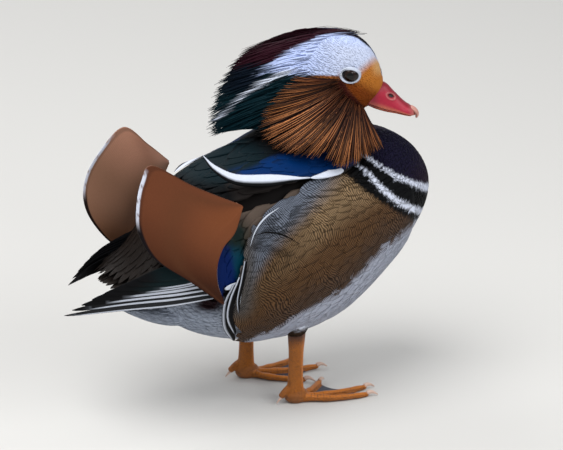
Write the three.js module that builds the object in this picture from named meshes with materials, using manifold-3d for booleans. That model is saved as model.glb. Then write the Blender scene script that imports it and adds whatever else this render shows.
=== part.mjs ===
import * as THREE from "three";
import { mergeVertices } from "three/addons/utils/BufferGeometryUtils.js";
import Module from "manifold-3d";

// A mandarin drake standing at rest, life size, for a museum shelf.
// Millimetres, Z up. X points to the breast and Y to the bird's left. Both wings are folded, and the head
// is drawn in and turned to the right. Every feather group is a node with its own root pad.

// Driving dimensions of the whole bird
const GAP = 0.3; // between pieces that touch
const VANE = 0.7; // thickness of a feather's web
const TIP = 0.3; // thickness and half-width left at a feather's point
const BED = 3.2; // depth of the bed that the folded wing lies in
const RIGHT = -1;
const LEFT = 1;
const SIDES = { right: RIGHT, left: LEFT };

// Colours
const CHESTNUT = 0x9a4a1c;
const MAROON = 0x3a1420;
const BLACK = 0x101014;
const WHITE = 0xe8eaee;
const BUFF = 0x8f7f62;
const SLATE = 0x3a3633;
const ORANGE = 0x9c552b;
const BLUE = 0x0c2f66;
const CORAL = 0xc8283c;
const HORN = 0xc9a79a;
const AMBER = 0xd07f1e;

const wasm = await Module();
wasm.setup();

// Numbers and curves

const clamp = (v, low, high) => Math.min(high, Math.max(low, v));
const mix = (a, b, t) => a + (b - a) * t;

function ramp(from, to, v) {
  const t = clamp((v - from) / (to - from), 0, 1);
  return t * t * (3 - 2 * t);
}

// The value at t, from 0 to 1, on a smooth curve through evenly spaced values.
function through(values, t) {
  const last = values.length - 1;
  const place = clamp(t, 0, 1) * last;
  const i = Math.min(Math.floor(place), last - 1);
  const u = place - i;
  const before = i > 0 ? values[i - 1] : 2 * values[0] - values[1];
  const after = i + 2 <= last ? values[i + 2] : 2 * values[last] - values[last - 1];
  const [a, b] = [values[i], values[i + 1]];
  const bend = 2 * before - 5 * a + 4 * b - after;
  const twist = -before + 3 * a - 3 * b + after;
  return a + 0.5 * u * (b - before + u * (bend + u * twist));
}

// The point at t on a smooth curve through evenly spaced points.
const along = (points, t) => points[0].map((_, k) => through(points.map((p) => p[k]), t));

// The sign-keeping power that squares off an ellipse.
const squared = (v, n) => Math.sign(v) * Math.abs(v) ** (2 / n);

const turned = (degrees) => (degrees * Math.PI) / 180;

// Solids

// A closed geometry as a solid, with its faces turned outwards.
function solid(geometry) {
  const bare = new THREE.BufferGeometry();
  bare.setAttribute("position", geometry.getAttribute("position"));
  bare.setIndex(geometry.index);
  const merged = mergeVertices(bare, 1e-4);
  const at = merged.attributes.position.array;
  const faces = [];
  let volume = 0;
  const index = merged.index.array;
  for (let i = 0; i < index.length; i += 3) {
    const [a, b, c] = [index[i], index[i + 1], index[i + 2]];
    if (a === b || b === c || c === a) continue;
    faces.push(a, b, c);
    const [p, q, r] = [a, b, c].map((k) => new THREE.Vector3(...at.slice(3 * k, 3 * k + 3)));
    volume += p.dot(q.cross(r));
  }
  if (volume < 0) {
    for (let i = 0; i < faces.length; i += 3) {
      [faces[i + 1], faces[i + 2]] = [faces[i + 2], faces[i + 1]];
    }
  }
  const triVerts = new Uint32Array(faces);
  return new wasm.Manifold(new wasm.Mesh({ numProp: 3, vertProperties: at, triVerts }));
}

const join = (solids) => solids.reduce((a, b) => a.add(b));
const cut = (body, ...tools) => tools.reduce((a, b) => a.subtract(b), body);

// Moves every point of a geometry by a function of its place.
function moved(geometry, move) {
  const p = geometry.getAttribute("position");
  for (let i = 0; i < p.count; i++) p.setXYZ(i, ...move(p.getX(i), p.getY(i), p.getZ(i)));
  return geometry;
}

// A ball drawn out to at(t, round): t runs from pole to pole, and round is the angle about that axis.
// It is then swelled outwards by grow.
function blob(at, around, rings, grow = 0) {
  const ball = new THREE.SphereGeometry(1, around, rings);
  const place = (x, y, z) => at(Math.acos(clamp(y, -1, 1)) / Math.PI, Math.atan2(x, z));
  moved(ball, place);
  if (!grow) return solid(ball);
  const bare = new THREE.BufferGeometry();
  bare.setAttribute("position", ball.getAttribute("position"));
  bare.setIndex(ball.index);
  const whole = mergeVertices(bare, 1e-4);
  whole.computeVertexNormals();
  const normal = whole.getAttribute("normal");
  const inside = volumeOf(whole) < 0 ? -1 : 1;
  let i = 0;
  const swell = (x, y, z) => {
    const step = grow * inside;
    const point = [x + step * normal.getX(i), y + step * normal.getY(i), z + step * normal.getZ(i)];
    i += 1;
    return point;
  };
  return solid(moved(whole, swell));
}

// Six times the volume that a geometry closes in, below zero when its faces turn inwards.
function volumeOf(geometry) {
  const p = geometry.getAttribute("position");
  const index = geometry.index.array;
  let volume = 0;
  for (let i = 0; i < index.length; i += 3) {
    const [a, b, c] = [0, 1, 2].map((k) => new THREE.Vector3().fromBufferAttribute(p, index[i + k]));
    volume += a.dot(b.cross(c));
  }
  return volume;
}

function ellipsoid(centre, radii, around = 16, rings = 12) {
  const ball = new THREE.SphereGeometry(1, around, rings);
  return solid(moved(ball, (x, y, z) => [x, y, z].map((v, k) => centre[k] + radii[k] * v)));
}

// A closed sheet over at(a, b, off), for a and b from 0 to 1, from offset under(a, b) up to over(a, b).
// Both faces are split along the same diagonals.
function sheet(at, na, nb, under, over) {
  const points = [];
  const faces = [];
  const wide = nb + 1;
  const face = (na + 1) * wide;
  for (const off of [over, under]) {
    for (let i = 0; i <= na; i++) {
      for (let j = 0; j <= nb; j++) {
        const [a, b] = [i / na, j / nb];
        points.push(...at(a, b, off(a, b)));
      }
    }
  }
  const quad = (p, q, r, s) => faces.push(p, q, r, p, r, s);
  for (let i = 0; i < na; i++) {
    for (let j = 0; j < nb; j++) {
      const [p, q, r, s] = [i * wide + j, (i + 1) * wide + j, (i + 1) * wide + j + 1, i * wide + j + 1];
      faces.push(p, q, r, p, r, s);
      faces.push(p + face, r + face, q + face, p + face, s + face, r + face);
    }
  }
  for (let i = 0; i < na; i++) {
    const [near, next] = [i * wide, (i + 1) * wide];
    quad(near, near + face, next + face, next);
    quad(next + nb, next + nb + face, near + nb + face, near + nb);
  }
  for (let j = 0; j < nb; j++) {
    quad(j + 1, j + 1 + face, j + face, j);
    const end = na * wide + j;
    quad(end, end + face, end + 1 + face, end + 1);
  }
  const geometry = new THREE.BufferGeometry();
  geometry.setAttribute("position", new THREE.Float32BufferAttribute(points, 3));
  geometry.setIndex(faces);
  return solid(geometry);
}

// A feather's outline: its half-width at t from root to point, full by a third and pointed by sharp.
const webWidth = (t, sharp) => (0.45 + 0.55 * ramp(0, 0.35, t)) * (1 - t ** sharp) ** 0.7;

// A flat feather or lock whose left and right edges run on place(t, side, off), side from -1 to 1.
function blade(place, steps, sharp, grow, thick = VANE) {
  const edge = (t) => {
    const end = TIP / 4;
    return Math.max(webWidth(t, sharp), end);
  };
  const stretch = (t) => mix(-grow / 20, 1 + grow / 20, t);
  const at = (a, b, off) => {
    const t = stretch(a);
    return place(t, (2 * b - 1) * edge(clamp(t, 0, 1)), off, (2 * b - 1) * grow);
  };
  const half = (a) => mix(thick, TIP, clamp(a, 0, 1) ** 3) / 2 + grow;
  return sheet(at, steps, 1, (a) => -half(a), (a) => half(a));
}

// A blade through points in space, lying flat against the direction flat(t) and rolled by tilt.
function lock(points, wide, flat, { steps = 4, sharp = 2, grow = 0, thick = VANE, tilt = 0 } = {}) {
  const place = (t, side, off, spare) => {
    const here = new THREE.Vector3(...along(points, t));
    const ahead = new THREE.Vector3(...along(points, clamp(t + 0.02, 0, 1)));
    const behind = new THREE.Vector3(...along(points, clamp(t - 0.02, 0, 1)));
    const way = ahead.sub(behind).normalize();
    const across = new THREE.Vector3(...flat(t)).cross(way).normalize();
    const out = way.clone().cross(across);
    const beyond = t < 0 ? t * 20 : t > 1 ? (t - 1) * 20 : 0;
    here.addScaledVector(across, side * wide + spare).addScaledVector(out, off + tilt * side);
    return here.addScaledVector(way, beyond).toArray();
  };
  return blade(place, steps, sharp, grow, thick);
}

// A round limb along path(t), with radii size(t) across and up.
function limb(path, size, sides = 12, steps = 8, up = [0, 0, 1]) {
  const rod = new THREE.CylinderGeometry(1, 1, 1, sides, steps);
  const place = (x, y, z) => {
    const t = y + 0.5;
    const ahead = new THREE.Vector3(...path(Math.min(1, t + 0.02)));
    const behind = new THREE.Vector3(...path(Math.max(0, t - 0.02)));
    const way = ahead.sub(behind).normalize();
    const across = new THREE.Vector3(...up).cross(way).normalize();
    const rise = way.clone().cross(across);
    const [wide, high] = size(t);
    const here = new THREE.Vector3(...path(t));
    here.addScaledVector(across, x * wide).addScaledVector(rise, z * high);
    return here.toArray();
  };
  return solid(moved(rod, place));
}

// Body

// Sections from the front of the breast to the rump, at even steps of an angle whose cosine gives X.
const BODY = {
  front: 105,
  rear: -96,
  top: [121, 140, 154.5, 162.5, 164.5, 164.5, 161.5, 153, 141, 123, 99],
  bottom: [121, 108, 88, 67, 45, 36.5, 36.5, 43.5, 56, 73, 99],
  middle: [121, 123, 121, 116, 109, 104, 103, 100.5, 98, 97, 99],
  half: [0, 20, 35.5, 45, 49, 50, 49.5, 44.5, 35, 21, 0],
  square: [2, 2, 2.1, 2.3, 2.6, 2.9, 2.9, 2.6, 2.2, 2, 2],
  belly: 2.1,
};

// The folded wings reach past the rump. Their sections behind the flanks, from X = start in even steps.
const FOLD = {
  start: -30,
  step: -30,
  half: [49.5, 45.5, 36.5, 26, 13.5, 5],
  middle: [103, 99, 95, 90, 82, 77],
  up: [57, 50, 40, 27, 14, 7],
  down: [66, 50, 36, 24, 13, 7],
  square: [2.9, 2.7, 2.5, 2.3, 2, 2],
};

const bodyMid = (BODY.front + BODY.rear) / 2;
const bodyReach = (BODY.front - BODY.rear) / 2;

function bodySection(x) {
  const t = Math.acos(clamp((x - bodyMid) / bodyReach, -1, 1)) / Math.PI;
  return sectionAt(t);
}

function sectionAt(t) {
  const middle = through(BODY.middle, t);
  return {
    half: through(BODY.half, t),
    middle,
    up: through(BODY.top, t) - middle,
    down: middle - through(BODY.bottom, t),
    square: through(BODY.square, t),
  };
}

function foldSection(x) {
  const t = clamp((x - FOLD.start) / FOLD.step / (FOLD.half.length - 1), 0, 1);
  const rear = {};
  for (const key of ["half", "middle", "up", "down", "square"]) rear[key] = through(FOLD[key], t);
  const share = ramp(-32, -62, x);
  if (share >= 1) return rear;
  const near = bodySection(x);
  const both = {};
  for (const key of Object.keys(rear)) both[key] = mix(near[key], rear[key], share);
  return both;
}

// The point of a section at an angle from the top, 90 degrees being the side, lifted by off.
function onSection(section, x, angle, off, side) {
  const n = Math.cos(angle) > 0 ? section.square : BODY.belly;
  const high = Math.cos(angle) > 0 ? section.up : section.down;
  const y = side * Math.max(0, section.half + off) * squared(Math.sin(angle), n);
  const z = section.middle + Math.max(0, high + off) * squared(Math.cos(angle), n);
  return [x, y, z - slope(x, y, z)];
}

// The back falls away behind the left shoulder, up to 11 mm where the left wing is held lower.
function slope(x, y, z) {
  const side = clamp((y - 6) / 28, 0, 1);
  return 11 * ramp(8, -30, x) * ramp(-98, -72, x) * side * ramp(116, 150, z);
}

// The angle at which a section's side reaches height z.
function angleAt(section, z) {
  const above = z > section.middle;
  const share = above ? (z - section.middle) / section.up : (section.middle - z) / section.down;
  const cosine = clamp(share, 0, 1) ** ((above ? section.square : BODY.belly) / 2);
  return above ? Math.acos(cosine) : Math.PI - Math.acos(cosine);
}

// The bed of the folded wing: full under the wing, and none on the breast, belly and back.
function bedDepth(x, z, round) {
  const side = Math.abs(Math.sin(round));
  return BED * ramp(54, 38, x) * ramp(66, 80, z) * ramp(0.3, 0.62, side) * ramp(-95, -88, x);
}

function torso(grow) {
  const at = (t, round) => {
    const x = bodyMid + bodyReach * Math.cos(Math.PI * t);
    const section = sectionAt(t);
    const z = onSection(section, x, Math.abs(round), 0, 1)[2];
    return onSection(section, x, round, -bedDepth(x, z, round), 1);
  };
  return blob(at, 32, 22, grow);
}

// Wing

// The arm lies in its bed, from the shoulder to the elbow. Heights are along the side.
const ARM = { front: 24, rear: -66, top: [148, 133], bottom: 86, over: -GAP, under: -2.6 };

function armPad(side, grow) {
  const at = (a, b, off) => {
    const x = mix(ARM.front, ARM.rear, a);
    const section = foldSection(x);
    const upper = angleAt(section, mix(...ARM.top, a));
    return onSection(section, x, mix(upper, angleAt(section, ARM.bottom), b), off, side);
  };
  return sheet(at, 6, 4, () => ARM.under, () => ARM.over + grow);
}

// A feather lying along the side from root to tip, each given as X and height. Its middle stays low until
// free and then climbs to rise, and it rolls so that its lower edge lies over the next feather by tilt.
function sideFeather(side, root, tip, wide, shape) {
  const { low, rise, free = 0.3, tilt = 0.6, sag = 0, sharp = 3, steps = 4, grow = 0 } = shape;
  const start = [root[0], angleAt(foldSection(root[0]), root[1])];
  const end = [tip[0], angleAt(foldSection(tip[0]), tip[1])];
  const length = Math.hypot(tip[0] - root[0], tip[1] - root[1]);
  const lie = [(tip[0] - root[0]) / length, (tip[1] - root[1]) / length];
  const place = (t, across, off, spare) => {
    const x = mix(start[0], end[0], t);
    const section = foldSection(x);
    const angle = mix(start[1], end[1], t) + (sag * 4 * t * (1 - t)) / section.half;
    const shift = across * wide + spare;
    const turn = angle + (shift * Math.abs(lie[0])) / Math.max(8, section.half);
    const lift = low + (rise - low) * ramp(free, 1, t);
    return onSection(section, x - shift * lie[1], turn, lift + tilt * across + off, side);
  };
  return blade(place, steps, sharp, grow);
}

const SECONDARIES = { count: 6, wide: 5.2, low: -1.4, rise: 0.3, tilt: 0.75 };

function wing(side, grow) {
  const pieces = [armPad(side, grow)];
  for (let k = 0; k < SECONDARIES.count; k++) {
    const share = k / (SECONDARIES.count - 1);
    const root = [-59, mix(130, 93, share)];
    const tip = [mix(-88, -76, share), mix(118, 86, share)];
    const { wide, low, rise, tilt } = SECONDARIES;
    pieces.push(sideFeather(side, root, tip, wide, { low, rise, tilt, sharp: 5, grow, steps: 3 }));
  }
  return join(pieces);
}

// The hand behind the arm, with the long primaries that cross over the rump
const HAND = {
  front: -66.4,
  rear: -92,
  count: 6,
  wide: 5.5,
  right: { reach: -154, rise: 0 },
  left: { reach: -140, rise: 13 },
};

function primaries(side, grow) {
  const { reach, rise } = side === RIGHT ? HAND.right : HAND.left;
  const lifted = (x, z) => z + rise * ramp(-70, -120, x);
  const pad = (a, b, off) => {
    const x = mix(HAND.front, HAND.rear, a);
    const section = foldSection(x);
    return onSection(section, x, angleAt(section, lifted(x, mix(102, 79, b))), off, side);
  };
  const pieces = [sheet(pad, 3, 3, () => -6.4, () => -3.4 + grow)];
  for (let k = 0; k < HAND.count; k++) {
    const share = k / (HAND.count - 1);
    const root = [-80, lifted(-80, mix(82, 99, share))];
    const x = mix(reach, reach + 34, share ** 1.2);
    const tip = [x, lifted(x, mix(76, 98, share ** 0.8))];
    const lie = { low: -4.9, rise: -3.6 + 0.95 * k, free: 0.2, tilt: 0, sag: 3 - 2 * share, grow, steps: 4 };
    pieces.push(sideFeather(side, root, tip, HAND.wide, lie));
  }
  return join(pieces);
}

// Sail: the broad upright web of the innermost tertial. Its shaft and its free margin run from the low end
// to the high end.
const SAIL = {
  outer: 9, // width of the narrow web in front of the shaft
  off: 2.6,
  shaft: [[-63, 45.5, 81], [-69, 48, 94], [-70, 49, 106], [-66, 49.5, 118.5], [-57, 49, 127.5], [-50.5, 47, 142]],
  right: [[-64, 45.5, 80], [-85, 42, 98], [-106.5, 37, 115], [-116, 34, 133], [-116.5, 33, 149], [-112, 31, 164],
    [-104, 31, 173], [-80, 39, 158], [-51, 46.5, 143]],
  left: [[-66, 45.5, 82], [-93, 38.5, 97], [-112, 31, 117], [-120, 29, 134], [-119, 28, 150], [-111, 25, 166],
    [-96, 21, 181], [-76, 27, 165], [-51, 46, 144]],
};

function sail(side, grow) {
  const free = side === RIGHT ? SAIL.right : SAIL.left;
  const share = 1 / 7;
  const at = (a, b, off) => {
    const shaft = along(SAIL.shaft, b);
    const margin = along(free, b);
    if (a >= share) {
      const [x, y, z] = [0, 1, 2].map((k) => mix(shaft[k], margin[k], (a - share) / (1 - share)));
      return [x, side * (y + off), z];
    }
    const forward = (SAIL.outer * Math.sin(Math.PI * clamp(b * 1.1, 0, 1)) + 1.5) * (1 - a / share) + grow;
    const x = shaft[0] + forward;
    const section = foldSection(x);
    const lying = onSection(section, x, angleAt(section, shaft[2]), SAIL.off, 1)[1];
    return [x, side * (mix(lying, shaft[1], a / share) + off), shaft[2]];
  };
  const half = (a) => (a < 0.25 ? 0.6 : 0.4) + grow;
  const web = sheet(at, 7, 6, (a) => -half(a), (a) => half(a));
  const quill = (t) => {
    const x = mix(-40, -58, t);
    const section = foldSection(x);
    return onSection(section, x, angleAt(section, mix(142, 130, t)), 1.55 + 1.2 * t, side);
  };
  return join([web, limb(quill, () => [1.2 + grow, 1.2 + grow], 5, 2)]);
}

// Scapulars

// The shoulder's pad over the top edge of the wing, its long feathers, and the white crescent at the border
const SHOULDER = { front: 50, rear: -38, near: 15, far: 46, count: 4 };
const CRESCENT = {
  right: [[26, 38, 153], [5, 39.5, 153.8], [-15, 40, 153.5], [-34, 39.5, 153.5], [-51, 37, 157],
    [-62.6, 32, 164], [-68.4, 27, 172]],
  left: [[26, 38, 153.6], [5, 39, 153.6], [-15, 38.5, 147.4], [-34, 34, 143.2], [-48, 25, 146.4], [-56, 14.5, 150.6],
    [-60.5, 8.5, 152.2]],
};

function scapulars(side, grow) {
  const at = (a, b, off) => {
    const x = mix(SHOULDER.front, SHOULDER.rear, a);
    return onSection(bodySection(x), x, turned(mix(SHOULDER.near, SHOULDER.far, b)), off, side);
  };
  const over = (a, b) => 1.3 + 1.8 * Math.sin((Math.PI / 2) * Math.min(1, 1.5 * a)) * ramp(-0.1, 0.15, b) + grow;
  const pieces = [sheet(at, 6, 3, () => 0.55, over)];
  for (let k = 0; k < SHOULDER.count; k++) {
    const angle = turned(mix(SHOULDER.near + 4, SHOULDER.far - 6, k / (SHOULDER.count - 1)));
    const place = (t, across, off, spare) => {
      const x = mix(-32, -66 + 3 * k, t);
      const section = bodySection(x);
      const turn = angle + (across * 5.5 + spare) / section.half - 0.1 * t * t;
      return onSection(section, x, turn, mix(1.8, 2.4, t) + 0.8 * across + off, side);
    };
    pieces.push(blade(place, 3, 2.5, grow));
  }
  const line = side === RIGHT ? CRESCENT.right : CRESCENT.left;
  const flat = (t) => [0, side * mix(1, 0.75, t), mix(0.75, 0.9, t)];
  const crescent = line.map(([x, y, z]) => [x, side * y, z]);
  pieces.push(lock(crescent, 5, flat, { steps: 7, sharp: 1.6, grow, thick: 1 }));
  return join(pieces);
}

// Flank

// The buff panel over the lower wing: its top and rear borders as X and height.
const FLANK = {
  top: [[76, 126], [52, 145], [24, 147.5], [-9, 143], [-38, 132]],
  rear: [[-38, 132], [-45, 121], [-49.5, 106], [-55.5, 89], [-57, 68], [-46, 50]],
  low: 140, // degrees round from the back, where the panel ends above the belly
  plumes: 7,
  wide: 7,
};

function flankPad(side, grow) {
  const at = (a, b, off) => {
    const upper = along(FLANK.top, a);
    const x = upper[0] + (along(FLANK.rear, b)[0] - FLANK.rear[0][0]) * a;
    const section = foldSection(x);
    return onSection(section, x, mix(angleAt(section, upper[1]), turned(FLANK.low), b), off, side);
  };
  const full = (v) => Math.sin(Math.PI * clamp(v, 0, 1)) ** 0.5;
  const over = (a, b) => 1.5 + 1.4 * full(a) * full(b) + mix(0, 1, a * ramp(0, 0.2, b)) + 0.4 * b + grow;
  const under = (a, b) => 0.6 + 0.4 * ramp(0.2, 0, a) + 0.6 * ramp(0.45, 0.8, b);
  return sheet(at, 9, 7, under, over);
}

function flank(side, grow) {
  const pieces = [flankPad(side, grow)];
  for (let k = 0; k < FLANK.plumes; k++) {
    const share = k / (FLANK.plumes - 1);
    const [x, z] = along(FLANK.rear, mix(0.08, 0.92, share));
    const root = [x + 6, z + 3];
    const tip = [x - 6 + 4 * share, z - 9 - 4 * share];
    const lie = { low: 1.6, rise: 2.4, tilt: 0.5, sharp: 2.4, grow, steps: 3 };
    pieces.push(sideFeather(side, root, tip, FLANK.wide, lie));
  }
  return join(pieces);
}

// Tail

const TAIL = { root: [-84, 97], reach: 38, pairs: 4, spread: 36, wide: 7.5, tilt: 1.1 };

function tail(grow) {
  const pieces = [ellipsoid([-89, 0, 98], [13 + grow, 18 + grow, 9 + grow], 12, 8)];
  for (const side of [RIGHT, LEFT]) {
    for (let k = 0; k < TAIL.pairs; k++) {
      const share = (k + 0.5) / TAIL.pairs;
      const turn = turned(side * TAIL.spread * share);
      const long = TAIL.reach * (1 - 0.22 * share * share);
      const [x, z] = TAIL.root;
      const high = side === RIGHT && k === 0 ? 1.1 : 0;
      const points = [0, 0.5, 1].map((t) => [
        x - Math.cos(turn) * long * t,
        side * 9 * share + Math.sin(turn) * long * t,
        z - 8 * t - 4 * share * t + high * t,
      ]);
      const lie = { steps: 3, sharp: 4, grow, tilt: TAIL.tilt * side };
      pieces.push(lock(points, TAIL.wide, () => [0, 0, 1], lie));
    }
  }
  for (let k = -1; k <= 1; k++) {
    const points = [[-95, 8 * k, 104], [-103, 10 * k, 101 - 2 * k * k], [-111, 10.5 * k, 95.5 - 3 * k * k]];
    pieces.push(lock(points, 6, () => [-0.6, 0, 1], { steps: 3, sharp: 3, grow }));
  }
  return join(pieces);
}

// The white cushion under the tail
function undertail(grow) {
  const at = (t, round) => {
    const size = Math.sin(Math.PI * t) ** 0.7;
    const wide = mix(24, 13, t) * size;
    const high = mix(14, 8, t) * size;
    return [mix(-58, -119, t), wide * Math.sin(round), mix(60, 76, t) + high * Math.cos(round)];
  };
  return blob(at, 16, 9, grow);
}

// Head

// The head's own frame: its middle between the eyes, and its turn to the right.
const HEAD = {
  eyes: [47.8, -10, 204.8],
  turn: -30,
  front: 21,
  rear: -37,
  top: [-10.5, 1.5, 14, 21.9, 25.2, 24.2, 20, 12, 2],
  bottom: [-10.5, -16, -24.5, -29, -32, -34, -31, -19, 2],
  half: [0, 8, 12.8, 16.2, 18.2, 18.6, 16.5, 11, 0],
};

function fromHead([x, y, z]) {
  const way = turned(HEAD.turn);
  const [cx, cy, cz] = HEAD.eyes;
  return [cx + x * Math.cos(way) - y * Math.sin(way), cy + x * Math.sin(way) + y * Math.cos(way), cz + z];
}

const headMid = (HEAD.front + HEAD.rear) / 2;
const headReach = (HEAD.front - HEAD.rear) / 2;

function headPoint(t, round) {
  const x = headMid + headReach * Math.cos(Math.PI * t);
  const [top, bottom] = [through(HEAD.top, t), through(HEAD.bottom, t)];
  const high = ((top - bottom) / 2) * squared(Math.cos(round), 2.2);
  return [x, through(HEAD.half, t) * squared(Math.sin(round), 2.2), (top + bottom) / 2 + high];
}

// The half-width of the head at a place in its own frame.
function headSide(x, z) {
  const t = Math.acos(clamp((x - headMid) / headReach, -1, 1)) / Math.PI;
  const [top, bottom] = [through(HEAD.top, t), through(HEAD.bottom, t)];
  const share = clamp(Math.abs(z - (top + bottom) / 2) / ((top - bottom) / 2), 0, 1);
  return through(HEAD.half, t) * (1 - share ** 2.2) ** (1 / 2.2);
}

const headWhole = (grow) => blob((t, round) => fromHead(headPoint(t, round)), 28, 16, grow);

const EYE = { y: 12.4, r: 5, wide: 4.9, high: 3.9, lid: 0.75, tilt: -12 };

const eyeBall = (side, grow) => {
  const r = EYE.r + grow;
  return ellipsoid(fromHead([0, side * EYE.y, 0]), [r, r, r], 12, 8);
};

// The rim of the lids: an oval ring lying on the ball.
function lids(side) {
  const ring = new THREE.TorusGeometry(1, EYE.lid / EYE.wide, 4, 14);
  const tilt = turned(EYE.tilt);
  const place = (x, y, z) => {
    const [u, v] = [x * EYE.wide, y * EYE.high];
    const [along1, up] = [u * Math.cos(tilt) - v * Math.sin(tilt), u * Math.sin(tilt) + v * Math.cos(tilt)];
    return fromHead([along1, side * (EYE.y + 3.6 + z * EYE.wide), up]);
  };
  return solid(moved(ring, place));
}

// Bill

const BILL = {
  ridge: [[13, -8], [21.3, -10], [27, -15.8], [33.2, -22.1], [37.4, -25.1], [40.6, -28.4]],
  edge: [[8, -20], [15, -22.8], [22, -25.4], [29, -27.2], [35.3, -29.2], [40.4, -31]],
  half: [8.5, 7.9, 6.9, 6.3, 5.7, 2.6],
  low: [1.5, 2.4, 2.2, 1.8, 1.3, 0.6], // depth of the lower half
};

// The upper half is arched over a flat edge, and the lower half is a shallow trough under it.
function billUpper(grow) {
  const at = (t, round) => {
    const end = Math.min(1, 4 * Math.sin(Math.PI * t)) ** 0.6;
    const [ridge, edge] = [along(BILL.ridge, t), along(BILL.edge, t)];
    const share = Math.max(0, squared(Math.cos(round), 1.7)) * end;
    const wide = through(BILL.half, t) * squared(Math.sin(round), 2.5) * end;
    return fromHead([mix(edge[0], ridge[0], share), wide, mix(edge[1], ridge[1], share)]);
  };
  return blob(at, 14, 9, grow);
}

function billLower(grow) {
  const at = (t, round) => {
    const end = Math.min(1, 4 * Math.sin(Math.PI * t)) ** 0.6;
    const edge = along(BILL.edge, t * 0.97);
    const wide = (through(BILL.half, t) - 0.5) * squared(Math.sin(round), 3) * end;
    const deep = through(BILL.low, t) * Math.max(0, -squared(Math.cos(round), 2)) * end;
    return fromHead([edge[0] - 0.6, wide, edge[1] - GAP - deep]);
  };
  return blob(at, 12, 7, grow);
}

function nostril(side) {
  const [x, z] = [28, -18.6];
  return ellipsoid(fromHead([x, side * 4.4, z]), [2.2, 2.4, 1.1], 8, 6);
}

// The hooked nail over the bill's tip
function nail(grow) {
  const path = (t) => fromHead(along([[36.5, 0, -25.3], [39.6, 0, -27.4], [41.3, 0, -30.2], [40.7, 0, -33.2]], t));
  const size = (t) => [through([2.4, 3.1, 2.7, 1.2], t) + grow, through([1, 1.3, 1.2, 0.6], t) + grow];
  return limb(path, size, 8, 5, [0, 0, 1]);
}

// Crest

// Locks down each side of the crest: root and tip in the head's frame, with the half-widths there. The upper
// lie over the lower. The last two lines lie along the crown.
const CREST = {
  rows: 7,
  root: [[-22, 14.5, 19], [-25, 16, 11], [-27, 16.5, 3], [-28, 16.5, -5], [-28, 16, -13], [-27, 15, -20], [-24, 14, -26]],
  tip: [[-66, 4, 8], [-74, 5, -3], [-80, 6, -14], [-83, 6.5, -26], [-86, 7, -38], [-85, 8, -49], [-68, 10, -48]],
  wide: 6.4,
  crown: [[[-10, 4, 21.5], [-38, 5, 19], [-62, 2.5, 10]], [[-14, 0, 22.5], [-40, 0, 20], [-67, 0, 10.5]]],
};
const CREST_CUT = [[5, 40], [2, 26], [-14, 17], [-22, 4], [-25, -12], [-26, -34], [-60, -60], [-110, -60], [-110, 60]];

// The height of the bird's back, with its feathers, under a point.
function backUnder(x, y) {
  const section = bodySection(x);
  const share = clamp(Math.abs(y) / (section.half + 2), 0, 1);
  return section.middle + (section.up + 4) * (1 - share ** section.square) ** (1 / section.square);
}

function lifted(point, clear) {
  const floor = backUnder(point[0], point[1]) + clear;
  return [point[0], point[1], Math.max(point[2], floor)];
}

const headWay = (x, y, z) => fromHead([x, y, z]).map((v, i) => v - HEAD.eyes[i]);

// The crest's core reaches half way to the tips.
function crestCore(grow) {
  const at = (t, round) => {
    const size = Math.sin(Math.PI * t) ** 0.5;
    const wide = mix(17, 8, t) * size;
    const high = mix(27, 15, t) * size;
    return fromHead([mix(-12, -58, t), wide * Math.sin(round), mix(-1, -16, t) + high * Math.cos(round)]);
  };
  return blob(at, 12, 7, grow);
}

function crestRegion() {
  const outline = new THREE.Shape(CREST_CUT.map(([x, z]) => new THREE.Vector2(x, z)));
  const slab = new THREE.ExtrudeGeometry(outline, { depth: 80, bevelEnabled: false });
  return solid(moved(slab, (x, y, z) => fromHead([x, z - 40, y])));
}

function crestLocks(grow) {
  const locks = [];
  for (const side of [RIGHT, LEFT]) {
    for (let k = 0; k < CREST.rows; k++) {
      const [root, tip] = [CREST.root[k], CREST.tip[k]];
      const bulge = 3.5 - 0.4 * k;
      const points = [0, 0.5, 1].map((t) => {
        const [x, y, z] = root.map((v, i) => mix(v, tip[i], t));
        return fromHead([x, side * (y + 3.5 * Math.sin(Math.PI * t)), z + bulge * Math.sin(Math.PI * t)]);
      });
      const clear = points.map((p) => lifted(p, 2 + grow));
      const flat = () => headWay(0, side, -0.12);
      locks.push(lock(clear, CREST.wide, flat, { steps: 3, sharp: 1.6, grow, thick: 0.9 }));
    }
    const crown = CREST.crown[0].map(([x, y, z]) => fromHead([x, side * y, z]));
    locks.push(lock(crown, 5, () => headWay(0, side * 0.5, 1), { steps: 4, sharp: 1.6, grow, thick: 0.9 }));
  }
  const middle = CREST.crown[1].map(fromHead);
  locks.push(lock(middle, 5, () => headWay(0, 0, 1), { steps: 4, sharp: 1.6, grow, thick: 0.9 }));
  return join(locks);
}

// Ruff

// The cheek's hackles fan out from under the eye. Angles are below the forward line, lengths from the hub.
const RUFF = {
  hub: [0, -13],
  from: 62,
  to: 186,
  long: [40, 42.5, 44.5, 52, 61, 65, 52],
  out: [20, 25, 29, 31, 30, 27, 21],
  count: 13,
  wide: 4.1,
  left: 3, // how much further the left side stands off, over the turned neck
};

// A point of the ruff at an angle under the forward line and a distance from the hub, lifted off by off.
function ruffPoint(side, angle, far, out, off) {
  const x = RUFF.hub[0] + Math.cos(angle) * far;
  const z = RUFF.hub[1] - Math.sin(angle) * far;
  const near = Math.max(headSide(x, z), 11);
  const flare = mix(near, out, ramp(12, 46, far));
  return fromHead([x, side * (Math.max(flare, near) + off), z]);
}

function ruffPad(side, grow) {
  const at = (a, b, off) => {
    const angle = turned(mix(RUFF.from - 9, RUFF.to + 6, a));
    const out = through(RUFF.out, a) + (side === LEFT ? RUFF.left : 0);
    return ruffPoint(side, angle, mix(7, 25, b), out, off);
  };
  return sheet(at, 7, 3, () => 0.7, (a, b) => 1.6 + 2.4 * ramp(0, 0.7, b) + grow);
}

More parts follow.
